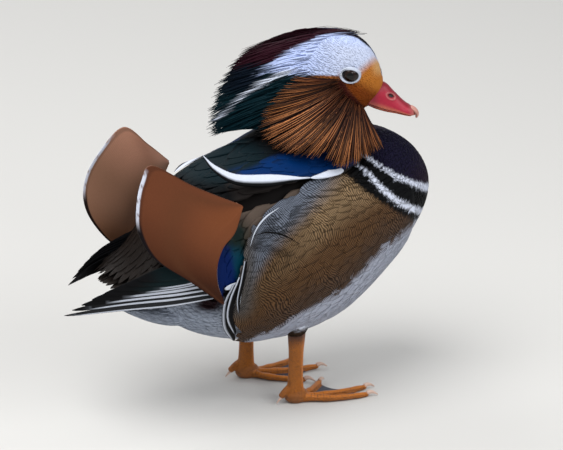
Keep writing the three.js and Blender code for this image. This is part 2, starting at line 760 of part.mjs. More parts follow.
function ruff(side, grow) {
  const pieces = [ruffPad(side, grow)];
  for (let k = 0; k < RUFF.count; k++) {
    const share = k / (RUFF.count - 1);
    const angle = turned(mix(RUFF.from, RUFF.to, share));
    const long = through(RUFF.long, share) * [1, 0.87, 0.96, 0.82][k % 4];
    const out = through(RUFF.out, share) + (side === LEFT ? RUFF.left : 0);
    const points = [21, mix(21, long, 0.5), long].map((far) => ruffPoint(side, angle, far, out, 2.3));
    const clear = points.map((p) => lifted(p, 2 + grow));
    const lie = { steps: 3, sharp: 2, grow, tilt: -0.75 * side };
    pieces.push(lock(clear, RUFF.wide, () => headWay(0, side, 0.25), lie));
  }
  return join(pieces);
}

// Neck

function neck(grow) {
  const path = [[40, -2, 138], [40, -3, 158], [38, -4, 176], [37, -5, 190]];
  const size = (t) => [through([25, 20, 15.5, 13], t) + grow, through([25, 21, 16, 14], t) + grow];
  return limb((t) => along(path, t), size, 12, 4, [1, 0, 0]);
}

// Legs

// Each leg's place, the way its foot points, and its toes: turn, length and bow towards the outside.
const LEG = {
  right: { x: 0, y: -26, turn: -4, toes: [[-17, 45, -5], [-2, 47, -3], [38, 31, -2]] },
  left: { x: -6, y: 26, turn: -16, toes: [[27, 40, -2], [2, 46, -3], [-30, 38, -4]] },
  floor: -3, // height of the floor in the frame of the body's sections
  top: 52,
};

const footPoint = (leg, ahead, out, z) => {
  const way = turned(leg.turn);
  const x = leg.x + ahead * Math.cos(way) - out * Math.sin(way);
  return [x, leg.y + ahead * Math.sin(way) + out * Math.cos(way), LEG.floor + z];
};

const ground = solid(new THREE.BoxGeometry(400, 400, 20).translate(0, 0, LEG.floor - 10));

function tarsus(leg, grow) {
  const path = (t) => [leg.x - 1.5 * (1 - t), leg.y, mix(LEG.floor + 4, LEG.top, t)];
  const size = (t) => [
    through([4.8, 4, 3.7, 3.8, 4.6, 4.8], t) + grow,
    through([6.2, 5.2, 4.9, 5.1, 5.9, 6.2], t) + grow,
  ];
  return limb(path, size, 8, 7, [1, 0, 0]);
}

const TOE = { high: [3.6, 3, 3.1, 2.5, 2.5, 1.9], wide: [3.9, 3.1, 3.3, 2.7, 2.8, 2.1] };

// The point at t along a toe, at height z.
function toePoint(leg, [turn, long, bow], t, z, beyond = 0) {
  const way = turned(turn);
  const [ahead, out] = [long * t + beyond, bow * Math.sin(Math.PI * Math.min(1, t * 0.9 + 0.1))];
  return footPoint(leg, 1 + Math.cos(way) * ahead - Math.sin(way) * out, Math.sin(way) * ahead + Math.cos(way) * out, z);
}

function toe(leg, digit, grow) {
  const path = (t) => toePoint(leg, digit, t, mix(3, 1.6, t));
  return limb(path, (t) => [through(TOE.wide, t) + grow, through(TOE.high, t) + grow], 6, 5);
}

// The web between two toes, hollowed along its front edge
function web(leg, first, second) {
  const at = (a, b, off) => {
    const long = (0.93 - 0.16 * Math.sin(Math.PI * b)) * a;
    const [p, q] = [first, second].map((digit) => toePoint(leg, digit, long, off));
    return p.map((v, k) => mix(v, q[k], b));
  };
  return sheet(at, 3, 2, () => 0, (a) => mix(1.6, 1.0, a));
}

const knob = (leg, grow) => {
  const centre = [leg.x - 0.5, leg.y, LEG.floor + 4];
  return ellipsoid(centre, [8 + grow, 6.6 + grow, 5.2 + grow], 8, 6);
};

function foot(leg) {
  const toes = leg.toes.map((t) => toe(leg, t, 0));
  const webs = [web(leg, leg.toes[0], leg.toes[1]), web(leg, leg.toes[1], leg.toes[2])];
  return join([knob(leg, 0), ...toes, ...webs]);
}

function claw(leg, digit, grow) {
  const path = (t) => toePoint(leg, digit, 0.96, through([2.4, 3.2, 2.6, 1], t), 7.5 * t);
  return limb(path, (t) => [mix(1.6, 0.4, t) + grow, mix(1.8, 0.4, t) + grow], 5, 3);
}

function hallux(leg, grow) {
  const path = (t) => footPoint(leg, mix(-4, -12.5, t), -1.5 * t, through([10, 8, 4.8], t));
  return limb(path, (t) => [mix(2.8, 1.9, t) + grow, mix(2.8, 1.9, t) + grow], 6, 3);
}

function halluxClaw(leg) {
  const path = (t) => footPoint(leg, mix(-11.5, -15, t), -1.5, through([5, 3.3, 1.2], t));
  return limb(path, (t) => [mix(1.1, 0.4, t), mix(1.1, 0.4, t)], 6, 2);
}

// Putting it together

const model = new THREE.Group();

// The largest closed piece of a solid, as a named mesh.
function node(name, shape, color, roughness = 0.7) {
  const parts = shape.decompose().sort((a, b) => b.volume() - a.volume());
  const made = parts[0].getMesh();
  const geometry = new THREE.BufferGeometry();
  geometry.setAttribute("position", new THREE.Float32BufferAttribute(made.vertProperties, 3));
  geometry.setIndex(new THREE.Uint32BufferAttribute(made.triVerts, 1));
  geometry.computeVertexNormals();
  const mesh = new THREE.Mesh(geometry, new THREE.MeshStandardMaterial({ color, roughness, metalness: 0 }));
  mesh.name = name;
  model.add(mesh);
}

const torsoSkin = torso(GAP);
const headSkin = headWhole(GAP);
const region = crestRegion();
const headOnly = cut(headWhole(0), region);
const sockets = [eyeBall(RIGHT, GAP), eyeBall(LEFT, GAP)];
const nailSkin = nail(GAP);

node("torso", torso(0), BUFF);
node("head", cut(join([headOnly, lids(RIGHT), lids(LEFT)]), ...sockets), WHITE);
node("eye_right", eyeBall(RIGHT, 0), BLACK, 0.1);
node("eye_left", eyeBall(LEFT, 0), BLACK, 0.1);
node("bill_upper", cut(billUpper(0), headSkin, nostril(RIGHT), nostril(LEFT), nailSkin), CORAL, 0.4);
node("bill_lower", cut(billLower(0), headSkin, billUpper(GAP), nailSkin), CORAL, 0.4);
node("bill_nail", nail(0), HORN, 0.4);
node("neck", cut(neck(0), headSkin, torsoSkin), CHESTNUT);
const neckSkin = neck(GAP);

const crestSpace = headWhole(0).intersect(region);
const headCutter = cut(headSkin, region);
const crestShape = cut(join([crestSpace, crestCore(0), crestLocks(0)]), headCutter, neckSkin, torsoSkin);
node("crest", crestShape, MAROON);
const crestSkin = join([crestCore(GAP), crestLocks(GAP)]);

node("tail", cut(tail(0), torsoSkin), SLATE);
const tailSkin = tail(GAP);
node("undertail", cut(undertail(0), torsoSkin, tailSkin), WHITE);
const aft = [torsoSkin, tailSkin, undertail(GAP)];

for (const [name, side] of Object.entries(SIDES)) {
  const leg = LEG[name];
  const handSkin = primaries(side, GAP);
  const wingSkin = wing(side, GAP);
  const sailSkin = sail(side, GAP);
  const flankSkin = flank(side, GAP);
  node(`primaries_${name}`, cut(primaries(side, 0), ...aft), SLATE);
  node(`wing_${name}`, cut(wing(side, 0), torsoSkin, handSkin), SLATE);
  node(`sail_${name}`, cut(sail(side, 0), torsoSkin, wingSkin, handSkin), ORANGE, 0.5);
  node(`flank_${name}`, cut(flank(side, 0), torsoSkin, wingSkin, sailSkin, handSkin), BUFF);
  const beside = [torsoSkin, wingSkin, sailSkin, flankSkin, neckSkin, crestSkin];
  node(`scapulars_${name}`, cut(scapulars(side, 0), ...beside), BLUE);
  node(`ruff_${name}`, cut(ruff(side, 0), headSkin, crestSkin, neckSkin, torsoSkin), CHESTNUT);
  const shank = tarsus(leg, GAP);
  node(`tarsus_${name}`, cut(tarsus(leg, 0), ground, torsoSkin, flankSkin), AMBER, 0.5);
  const claws = leg.toes.map((t) => claw(leg, t, GAP));
  node(`foot_${name}`, cut(foot(leg), ground, shank, ...claws), AMBER, 0.5);
  node(`hallux_${name}`, cut(hallux(leg, 0), shank, knob(leg, GAP)), AMBER, 0.5);
  leg.toes.forEach((t, k) => node(`claw_${name}_${k + 1}`, cut(claw(leg, t, 0), ground), HORN, 0.4));
  node(`claw_${name}_4`, cut(halluxClaw(leg), hallux(leg, GAP)), HORN, 0.4);
}

// The origin is under the middle of the bird, on the floor.
const box = new THREE.Box3().setFromObject(model);
const middle = box.getCenter(new THREE.Vector3());
model.position.set(-middle.x, -middle.y, -box.min.z);

const bird = new THREE.Group();
bird.add(model);
export default bird;
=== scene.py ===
"""A mandarin drake, life size, standing at rest as a museum model stands on its shelf.

Lengths are millimetres in the bird's own frame: X points to the breast, Y to the bird's left and Z up.
"""

import bpy
import numpy as np
from mathutils import Matrix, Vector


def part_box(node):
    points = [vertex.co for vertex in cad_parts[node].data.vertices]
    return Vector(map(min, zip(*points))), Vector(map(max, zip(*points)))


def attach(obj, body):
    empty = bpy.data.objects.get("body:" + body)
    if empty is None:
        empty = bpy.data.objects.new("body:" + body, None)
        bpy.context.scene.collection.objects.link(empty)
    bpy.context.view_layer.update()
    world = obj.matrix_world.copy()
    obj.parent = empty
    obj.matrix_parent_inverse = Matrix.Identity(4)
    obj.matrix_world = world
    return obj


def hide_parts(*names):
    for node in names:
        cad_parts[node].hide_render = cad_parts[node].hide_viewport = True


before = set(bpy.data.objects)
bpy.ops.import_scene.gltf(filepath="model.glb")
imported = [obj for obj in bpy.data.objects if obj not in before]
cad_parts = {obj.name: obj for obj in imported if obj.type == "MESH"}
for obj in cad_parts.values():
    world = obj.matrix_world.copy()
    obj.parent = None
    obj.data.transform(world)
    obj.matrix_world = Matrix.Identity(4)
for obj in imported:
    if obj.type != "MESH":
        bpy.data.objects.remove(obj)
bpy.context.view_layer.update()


# Studio
#
# The bird stands on a pale floor under a wide soft light from above, with weaker ones in front and behind
# and a small one that gives the eyes their catch light. It is seen through a long lens from behind its
# right wing, 20 degrees above the floor.

RIGHT, LEFT = -1, 1
SIDES = {"right": RIGHT, "left": LEFT}

# The right eye's place in the bird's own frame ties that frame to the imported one.
eye_low, eye_high = (np.array(corner) * 1000 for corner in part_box("eye_right"))
SHIFT = (eye_low + eye_high) / 2 - np.array([41.6, -20.739, 204.8])


def metres(points):
    """Points of the bird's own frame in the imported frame, in metres."""
    return (np.asarray(points, float) + SHIFT) / 1000


def compass(azimuth, elevation):
    """The way from the bird to a viewer: azimuth 0 stands on the bird's right, and 90 in front of it."""
    a, e = np.radians([azimuth, elevation])
    return np.array([np.sin(a) * np.cos(e), -np.cos(a) * np.cos(e), np.sin(e)])


def aimed(thing, name, aim, azimuth, elevation, far):
    """A camera or lamp that looks at a point of the bird from far metres away."""
    holder = bpy.data.objects.new(name, thing)
    bpy.context.scene.collection.objects.link(holder)
    way = compass(azimuth, elevation)
    spot = metres(aim) + far * way
    side = np.cross([0, 0, 1], way)
    side /= np.linalg.norm(side)
    turn = np.column_stack([side, np.cross(way, side), way])
    holder.matrix_world = Matrix([[*turn[k], spot[k]] for k in range(3)] + [[0, 0, 0, 1]])
    return holder


lens = bpy.data.cameras.new("lens")
lens.lens = 306.9
lens.sensor_width = 36
bpy.context.scene.camera = aimed(lens, "camera", (3.8, 0, 105.5), -30, 20, 3.0)

LAMPS = {  # azimuth, elevation, distance and width in metres, watts
    "overhead": (-70, 68, 1.5, 1.3, 21),
    "front": (35, 35, 1.8, 1.0, 8),
    "behind": (190, 40, 1.8, 1.0, 7),
    "eyes": (0, 30, 1.8, 0.45, 3),
}
for name, (azimuth, elevation, far, wide, watts) in LAMPS.items():
    lamp = bpy.data.lights.new(name, "AREA")
    lamp.shape = "DISK"
    lamp.size = wide
    lamp.energy = watts
    aimed(lamp, name, (0, 0, 110), azimuth, elevation, far)

world = bpy.data.worlds.new("studio")
bpy.context.scene.world = world
world.use_nodes = True
world.node_tree.nodes["Background"].inputs["Color"].default_value = (0.86, 0.88, 0.9, 1)
world.node_tree.nodes["Background"].inputs["Strength"].default_value = 0.55
bpy.context.scene.view_settings.view_transform = "Standard"


def made(name, points, faces, smooth=True):
    """An object from points in the bird's frame and an array of faces that all have the same corners."""
    mesh = bpy.data.meshes.new(name)
    points = metres(np.reshape(points, (-1, 3)))
    faces = np.asarray(faces, np.int32)
    mesh.vertices.add(len(points))
    mesh.vertices.foreach_set("co", points.astype(np.float32).ravel())
    mesh.loops.add(faces.size)
    mesh.loops.foreach_set("vertex_index", faces.ravel())
    mesh.polygons.add(len(faces))
    mesh.polygons.foreach_set("loop_start", np.arange(len(faces), dtype=np.int32) * faces.shape[1])
    mesh.polygons.foreach_set("loop_total", np.full(len(faces), faces.shape[1], np.int32))
    mesh.update(calc_edges=True)
    mesh.polygons.foreach_set("use_smooth", np.full(len(faces), smooth))
    piece = bpy.data.objects.new(name, mesh)
    bpy.context.scene.collection.objects.link(piece)
    return piece


CIRCLE = 6.283  # a full turn in radians, for the waves of the finishes


class Fact:
    """A value or colour in a finish. Sums and products of values add Math nodes to it."""

    def __init__(self, finish, socket):
        self.finish = finish
        self.socket = socket

    def maths(self, operation, *others):
        """The result of a Math node on this value and others."""
        return self.finish.node("Math", {"operation": operation}, dict(enumerate((self, *others))))

    def __add__(self, other):
        return self.maths("ADD", other)

    def __sub__(self, other):
        return self.maths("SUBTRACT", other)

    def __rsub__(self, other):
        return (self * -1).maths("ADD", other)

    def __mul__(self, other):
        return self.maths("MULTIPLY", other)

    __radd__ = __add__
    __rmul__ = __mul__

    def rises(self, low, high):
        """0 below low and 1 above high, smooth between."""
        limits = {"Value": self, "From Min": low, "From Max": high}
        return self.finish.node("MapRange", {"interpolation_type": "SMOOTHSTEP"}, limits)

    def waves(self, step):
        """A wave between 0 and 1 that comes back at each step of the value."""
        return (self * (CIRCLE / step)).maths("SINE") * 0.5 + 0.5


class Finish:
    """A material: its node tree, and its one surface shader with the sockets that are the same all over."""

    def __init__(self, name, **even):
        self.material = bpy.data.materials.new(name)
        self.material.use_nodes = True
        self.tree = self.material.node_tree
        self.shader = self.tree.nodes["Principled BSDF"]
        for key, value in even.items():
            self.shader.inputs[key.replace("_", " ").title().replace("Ior", "IOR")].default_value = value

    def node(self, kind, settings=None, inputs=None, out=0):
        """One output of a new node of a kind, with its settings made before its sockets are filled."""
        step = self.tree.nodes.new("ShaderNode" + kind)
        for key, value in (settings or {}).items():
            setattr(step, key, value)
        for key, value in (inputs or {}).items():
            if isinstance(value, Fact):
                self.tree.links.new(value.socket, step.inputs[key])
            else:
                step.inputs[key].default_value = value
        return Fact(self, step.outputs[out])

    def read(self, name, out="Color"):
        """What a piece's attribute says at each point."""
        return self.node("Attribute", {"attribute_name": name}, out=out)

    def place(self):
        """Where a point lies in the bird's own frame, in millimetres."""
        metre = self.node("TexCoord", out="Object")
        scaled = self.node("VectorMath", {"operation": "SCALE"}, {0: metre, "Scale": 1000.0})
        return self.node("VectorMath", {"operation": "SUBTRACT"}, {0: scaled, 1: tuple(SHIFT)})

    def apart(self, vector):
        """The three values of a vector."""
        return [self.node("SeparateXYZ", None, {0: vector}, out=k) for k in range(3)]

    def noise(self, where, scale, detail=2.0, rough=0.5):
        """A soft random value from 0 to 1, with scale features to the millimetre."""
        inputs = {"Vector": where, "Scale": scale, "Detail": detail, "Roughness": rough}
        return self.node("TexNoise", None, inputs)

    def mix(self, share, first, second, blend="MIX"):
        """One colour turned into another by a share, or multiplied with it."""
        sockets = {0: share, 6: first, 7: second}
        return self.node("Mix", {"data_type": "RGBA", "blend_type": blend}, sockets, out=2)

    def lit(self, colour, light):
        """A colour made lighter or darker by a value."""
        grey = self.node("CombineXYZ", None, {0: light, 1: light, 2: light})
        return self.mix(1.0, colour, grey, "MULTIPLY")

    def bump(self, height, depth):
        """A surface raised by height times depth, in metres."""
        return self.node("Bump", None, {"Height": height, "Distance": depth}, out="Normal")

    def wear(self, **links):
        """Feeds the shader what changes over the surface, and gives the material."""
        for key, value in links.items():
            self.tree.links.new(value.socket, self.shader.inputs[key.replace("_", " ").title()])
        return self.material


floor = made("floor", np.array([[-4000, -4000, -3], [4000, -4000, -3], [4000, 4000, -3], [-4000, 4000, -3]]),
             [[0, 1, 2, 3]], False)
backing = Finish("floor_paint", base_color=(0.62, 0.61, 0.59, 1), roughness=0.9, specular_ior_level=0.1)
floor.data.materials.append(backing.material)


# Skin
#
# One closed skin over breast, back, belly, rump, neck and head, with the shoulders of the thighs. It is
# stretched over the same sections as the solid body and lies under them by the depth of the coat.

BODY = {  # sections from the breast to the rump, at even steps of an angle whose cosine gives X
    "front": 105,
    "rear": -96,
    "top": [121, 140, 154.5, 162.5, 164.5, 164.5, 161.5, 153, 141, 123, 99],
    "bottom": [121, 108, 88, 67, 45, 36.5, 36.5, 43.5, 56, 73, 99],
    "middle": [121, 123, 121, 116, 109, 104, 103, 100.5, 98, 97, 99],
    "half": [0, 20, 35.5, 45, 49, 50, 49.5, 44.5, 35, 21, 0],
    "square": [2, 2, 2.1, 2.3, 2.6, 2.9, 2.9, 2.6, 2.2, 2, 2],
}
FOLD = {  # sections of the folded wings behind the flanks, from X = -30 in steps of -30
    "half": [49.5, 45.5, 36.5, 26, 13.5, 5],
    "middle": [103, 99, 95, 90, 82, 77],
    "up": [57, 50, 40, 27, 14, 7],
    "down": [66, 50, 36, 24, 13, 7],
    "square": [2.9, 2.7, 2.5, 2.3, 2, 2],
}
BELLY = 2.1  # how square the lower half of every section is
COAT = 1.5  # depth of the body's coat
DOWN = 0.8  # depth of the head's coat


def ramp(low, high, value):
    """0 at low and 1 at high, with a level start and end."""
    t = np.clip((value - low) / (high - low), 0, 1)
    return t * t * (3 - 2 * t)


def mix(a, b, t):
    """a and b in the shares 1 - t and t."""
    return a + (b - a) * t


def through(values, t):
    """The value at t, from 0 to 1, on a smooth curve through even steps. Each piece is a cubic whose slope
    at a value is half the step between that value's neighbours."""
    v = np.asarray(values, float)
    place = np.clip(t, 0, 1) * (len(v) - 1)
    i = np.minimum(place.astype(int), len(v) - 2)
    u = place - i
    if v.ndim > 1:
        u = u[..., None]
    ends = np.concatenate([[2 * v[0] - v[1]], v, [2 * v[-1] - v[-2]]])
    before, a, b, after = ends[i], ends[i + 1], ends[i + 2], ends[i + 3]
    bend = 2 * before - 5 * a + 4 * b - after
    twist = 3 * a - before - 3 * b + after
    return a + 0.5 * u * (b - before + u * (bend + u * twist))


def heading(values, t, near):
    """The way that such a curve runs at t, from a little before it to a little after."""
    return unit(through(values, np.minimum(1, t + near)) - through(values, np.maximum(0, t - near)))


def squared(value, n):
    """The power 2/n of a sine or cosine with its sign kept, which squares an ellipse off."""
    return np.sign(value) * np.abs(value) ** (2 / n)


def unit(vectors):
    """Vectors of length one."""
    return vectors / np.maximum(np.linalg.norm(vectors, axis=-1, keepdims=True), 1e-9)


def xyz(x, y, z):
    """Points from their three coordinates."""
    return np.stack(np.broadcast_arrays(x, y, z), -1)


def middle_and_reach(sizes):
    """X halfway between front and rear, and half the length."""
    return (sizes["front"] + sizes["rear"]) / 2, (sizes["front"] - sizes["rear"]) / 2


def x_at(sizes, t):
    """X at t from front to rear: the middle plus half the length times the cosine."""
    middle, reach = middle_and_reach(sizes)
    return middle + reach * np.cos(np.pi * t)


def t_at(sizes, x):
    """The share from front to rear at X, by the same cosine."""
    middle, reach = middle_and_reach(sizes)
    return np.arccos(np.clip((x - middle) / reach, -1, 1)) / np.pi


def section_at(t):
    """The body's section at t from breast to rump."""
    top, bottom, middle = (through(BODY[key], t) for key in ("top", "bottom", "middle"))
    sizes = {key: through(BODY[key], t) for key in ("half", "square")}
    return {"middle": middle, "up": top - middle, "down": middle - bottom, **sizes}


def body_section(x):
    """The body's section at X."""
    return section_at(t_at(BODY, x))


def fold_section(x):
    """The section of body and folded wings at X."""
    t = np.clip((x + 30) / -150, 0, 1)
    near, share = body_section(x), ramp(-32, -62, x)
    return {key: mix(near[key], through(values, t), share) for key, values in FOLD.items()}


def slope(x, y, z):
    """How far the back falls away behind the left shoulder, where the left wing is held lower."""
    return 11 * ramp(8, -30, x) * ramp(-98, -72, x) * np.clip((y - 6) / 28, 0, 1) * ramp(116, 150, z)


def on_section(section, x, angle, off, side=1):
    """The point of a section at an angle from the top, lifted by off. Its side is half times the squared
    sine, and its height is up or down times the squared cosine."""
    upper = np.cos(angle) > 0
    high = np.where(upper, section["up"], section["down"])
    square = np.where(upper, section["square"], BELLY)
    y = side * (np.maximum(0, section["half"] + off) * squared(np.sin(angle), square))
    z = section["middle"] + np.maximum(0, high + off) * squared(np.cos(angle), square)
    return xyz(x, y, z - slope(x, y, z))


def angle_at(section, z):
    """The angle from the top at which a section's side reaches height z."""
    high = z - section["middle"]
    above = high > 0
    share = np.abs(high) / np.where(above, section["up"], section["down"])
    cosine = np.clip(share, 0, 1) ** (np.where(above, section["square"], BELLY) / 2)
    return np.where(above, np.arccos(cosine), np.pi - np.arccos(cosine))


def grid_faces(rows, columns, around=False):
    """The four corners of each face of a grid, closed round its columns if asked."""
    i, j = np.meshgrid(np.arange(rows - 1), np.arange(columns - (0 if around else 1)), indexing="ij")
    k = (j + 1) % columns
    corners = [i * columns + j, i * columns + k, (i + 1) * columns + k, (i + 1) * columns + j]
    return np.stack(corners, -1).reshape(-1, 4)


def halved(quads):
    """Faces of four corners cut in two."""
    return np.concatenate([quads[:, [0, 1, 2]], quads[:, [0, 2, 3]]])


def ball(at, rings, around):
    """A closed surface at(t, round), with t from pole to pole and round the angle about that axis: its points
    and its faces, with a fan of triangles over the small ring at each pole."""
    t, turn = np.meshgrid(np.linspace(0, 1, rings), np.arange(around) / around * 2 * np.pi, indexing="ij")
    points = at(np.clip(t, 1e-3, 1 - 1e-3), turn).reshape(-1, 3)
    last, step = (rings - 1) * around, np.arange(1, around - 1)
    start = np.stack([0 * step, step + 1, step], -1)
    end = np.stack([0 * step + last, last + step, last + step + 1], -1)
    return points, np.concatenate([halved(grid_faces(rings, around, around=True)), start, end])


def outward(points, faces):
    """Faces turned so that the volume they close in is above zero."""
    a, b, c = (points[(halved(faces) if faces.shape[1] == 4 else faces)[:, k]] for k in range(3))
    return faces if (a * np.cross(b, c)).sum() > 0 else faces[:, ::-1]


def together(shells):
    """The points and faces of several shells as those of one mesh."""
    starts = np.cumsum([0] + [len(points) for points, _ in shells])
    faces = [faces + start for (_, faces), start in zip(shells, starts)]
    return np.concatenate([points for points, _ in shells]), np.concatenate(faces)


def torso(t, turn):
    """The body under its coat, hollowed where the folded wing lies in it."""
    x = x_at(BODY, t)
    section = section_at(t)
    z = on_section(section, x, turn, 0)[..., 2]
    bed = 3.2 * ramp(54, 38, x) * ramp(66, 80, z) * ramp(0.3, 0.62, np.abs(np.sin(turn))) * ramp(-95, -88, x)
    return on_section(section, x, turn, -bed - COAT)


HEAD = {  # the head's middle between the eyes, its turn to the right, and its sections from bill to nape
    "eyes": [47.8, -10, 204.8],
    "turn": -30,
    "front": 21,
    "rear": -37,
    "top": [-10.5, 1.5, 14, 21.9, 25.2, 24.2, 20, 12, 2],
    "bottom": [-10.5, -16, -24.5, -29, -32, -34, -31, -19, 2],
    "half": [0, 8, 12.8, 16.2, 18.2, 18.6, 16.5, 11, 0],
}
head_way = np.radians(HEAD["turn"])
HEAD_TURN = np.array([
    [np.cos(head_way), -np.sin(head_way), 0],
    [np.sin(head_way), np.cos(head_way), 0],
    [0, 0, 1],
])


def from_head(points):
    """Points of the head's own frame in the bird's frame."""
    return np.asarray(points, float) @ HEAD_TURN.T + HEAD["eyes"]


def to_head(points):
    """Points of the bird's frame in the head's own frame."""
    return (points - HEAD["eyes"]) @ HEAD_TURN


def head_point(t, turn, sink=0.0):
    """The head in its own frame: an ellipse squared to the power 2.2 between its top and bottom lines, with a
    socket for each eye."""
    top, bottom = through(HEAD["top"], t), through(HEAD["bottom"], t)
    x = x_at(HEAD, t)
    y = np.maximum(0, through(HEAD["half"], t) - sink) * squared(np.sin(turn), 2.2)
    z = (top + bottom) / 2 + np.maximum(0, (top - bottom) / 2 - sink) * squared(np.cos(turn), 2.2)
    socket = ramp(1.1, 0.8, np.hypot((x + 0.6) / 5.4, (z + 0.17 * x) / 4.2)) * (np.abs(y) > 8)
    return xyz(x - sink * np.cos(np.pi * t), y - np.sign(y) * 3.2 * socket, z)


def head_side(x, z):
    """The half-width of the head at a place in its own frame."""
    t = t_at(HEAD, x)
    top, bottom = through(HEAD["top"], t), through(HEAD["bottom"], t)
    share = np.clip(np.abs(z - (top + bottom) / 2) / np.maximum((top - bottom) / 2, 0.1), 0, 1)
    return through(HEAD["half"], t) * (1 - share**2.2) ** (1 / 2.2)


def neck(t, turn):
    """A round neck from the breast to the head."""
    middle = through([[40, -2, 134], [40, -2.5, 150], [38, -4, 174], [37, -5, 192]], t)
    size = through([26, 21, 15.5, 13], t) * np.sin(np.pi * t) ** 0.2
    return middle + xyz(size * np.cos(turn), size * np.sin(turn), 0)


def cushion(t, turn):
    """The white cushion under the tail."""
    full = np.sin(np.pi * t) ** 0.7
    y = (mix(24, 13, t) - 1) * full * np.sin(turn)
    return xyz(mix(-56, -117, t), y, mix(60, 76, t) + (mix(14, 8, t) - 1) * full * np.cos(turn))


def egg(centre, radii):
    """An ellipsoid as a surface for ball."""
    return lambda t, turn: np.array(centre) + np.array(radii) * xyz(
        np.cos(np.pi * t), np.sin(np.pi * t) * np.cos(turn), np.sin(np.pi * t) * np.sin(turn))


shells = [
    ball(torso, 70, 96),
    ball(neck, 30, 60),
    ball(lambda t, turn: from_head(head_point(t, turn, DOWN)), 50, 64),
    ball(cushion, 30, 40),
    ball(egg([-89, 0, 98], [12, 17, 8]), 24, 32),
    ball(egg([-1, -26, 51], [9, 8, 11]), 24, 32),
    ball(egg([-7, 26, 51], [9, 8, 11]), 24, 32),
]
skin = made("skin", *together([(points, outward(points, faces)) for points, faces in shells]))


def settled(piece, **modifier):
    """Puts one modifier on a piece and applies it."""
    kind = modifier.pop("kind")
    step = piece.modifiers.new(kind.lower(), kind)
    for key, value in modifier.items():
        setattr(step, key, value)
    whole = piece.evaluated_get(bpy.context.evaluated_depsgraph_get())
    mesh = bpy.data.meshes.new_from_object(whole)
    piece.modifiers.clear()
    piece.data = mesh
    mesh.name = piece.name


settled(skin, kind="REMESH", mode="VOXEL", voxel_size=0.0016, use_smooth_shade=True)
settled(skin, kind="SMOOTH", factor=0.5, iterations=6)


def points_of(piece):
    """A piece's points in the bird's frame."""
    flat = np.empty(3 * len(piece.data.vertices), np.float32)
    piece.data.vertices.foreach_get("co", flat)
    return flat.reshape(-1, 3) * 1000.0 - SHIFT


# Coat of the head, breast, back and belly
#
# Small overlapping feathers that start in the skin, lie along the body and stand a little off it at their
# tips. Each is a thin closed web with a raised middle. The markings are worked out from the place on the
# bird, so that skin and feathers carry the same ones.

seed = np.random.default_rng(31)


def laid(points, host):
    """The nearest points of a surface and the ways out of it there."""
    probe = bpy.data.meshes.new("probe")
    flat = metres(points.reshape(-1, 3)).astype(np.float32)
    probe.vertices.add(len(flat))
    probe.vertices.foreach_set("co", flat.ravel())
    holder = bpy.data.objects.new("probe", probe)
    bpy.context.scene.collection.objects.link(holder)
    found = []
    for off in (0.0, 0.002):
        wrap = holder.modifiers.new("wrap", "SHRINKWRAP")
        wrap.target = host
        wrap.wrap_method = "NEAREST_SURFACEPOINT"
        wrap.wrap_mode = "ABOVE_SURFACE"
        wrap.offset = off
        whole = holder.evaluated_get(bpy.context.evaluated_depsgraph_get())
        at = np.empty(flat.size, np.float32)
        whole.data.vertices.foreach_get("co", at)
        found.append(at.reshape(-1, 3) * 1000.0 - SHIFT)
        holder.modifiers.clear()
    bpy.data.objects.remove(holder)
    bpy.data.meshes.remove(probe)
    return found[0].reshape(points.shape), unit(found[1] - found[0]).reshape(points.shape)


def first_in_cells(points, size):
    """The numbers of the points that come first in the cubic cells of a size."""
    cells = np.floor(points / size).astype(np.int64) @ np.array([1, 4001, 4001**2])
    return np.sort(np.unique(cells, return_index=True)[1])


def scattered(host, apart, keep):
    """Places on a surface about apart from each other. Of random points on its triangles, the first in each
    cell is kept, and of those, with the nearest to their cells' middles first, the first in each smaller
    cell."""
    mesh = host.data
    mesh.calc_loop_triangles()
    corners = np.empty(3 * len(mesh.loop_triangles), np.int32)
    mesh.loop_triangles.foreach_get("vertices", corners)
    a, b, c = (points_of(host)[corners.reshape(-1, 3)[:, k]] for k in range(3))
    wanted = keep((a + b + c) / 3)
    a, b, c = a[wanted], b[wanted], c[wanted]
    area = np.linalg.norm(np.cross(b - a, c - a), axis=1) / 2
    count = int(9 * area.sum() / apart**2)
    pick = np.searchsorted(np.cumsum(area), seed.random(count) * area.sum()).clip(0, len(area) - 1)
    u, v = seed.random((2, count, 1))
    u, v = np.where(u + v > 1, 1 - u, u), np.where(u + v > 1, 1 - v, v)
    spots = a[pick] + u * (b - a)[pick] + v * (c - a)[pick]
    spots = spots[first_in_cells(spots, apart)]
    middles = np.floor(spots / apart) * apart + apart / 2
    spots = spots[np.argsort(np.linalg.norm(spots - middles, axis=1))]
    return spots[first_in_cells(spots, 0.62 * apart)]


def feather_steps(steps):
    """Shares from root to tip, closer together towards the tip."""
    return 1 - (1 - np.linspace(0, 1, steps)) ** 1.35


def outline(t, sharp, root, end):
    """A feather's half-width from root to tip as a share: full by a third, then rounded off by a power."""
    return np.maximum((root + (1 - root) * ramp(0, 0.35, t)) * (1 - t**sharp) ** 0.6, end)


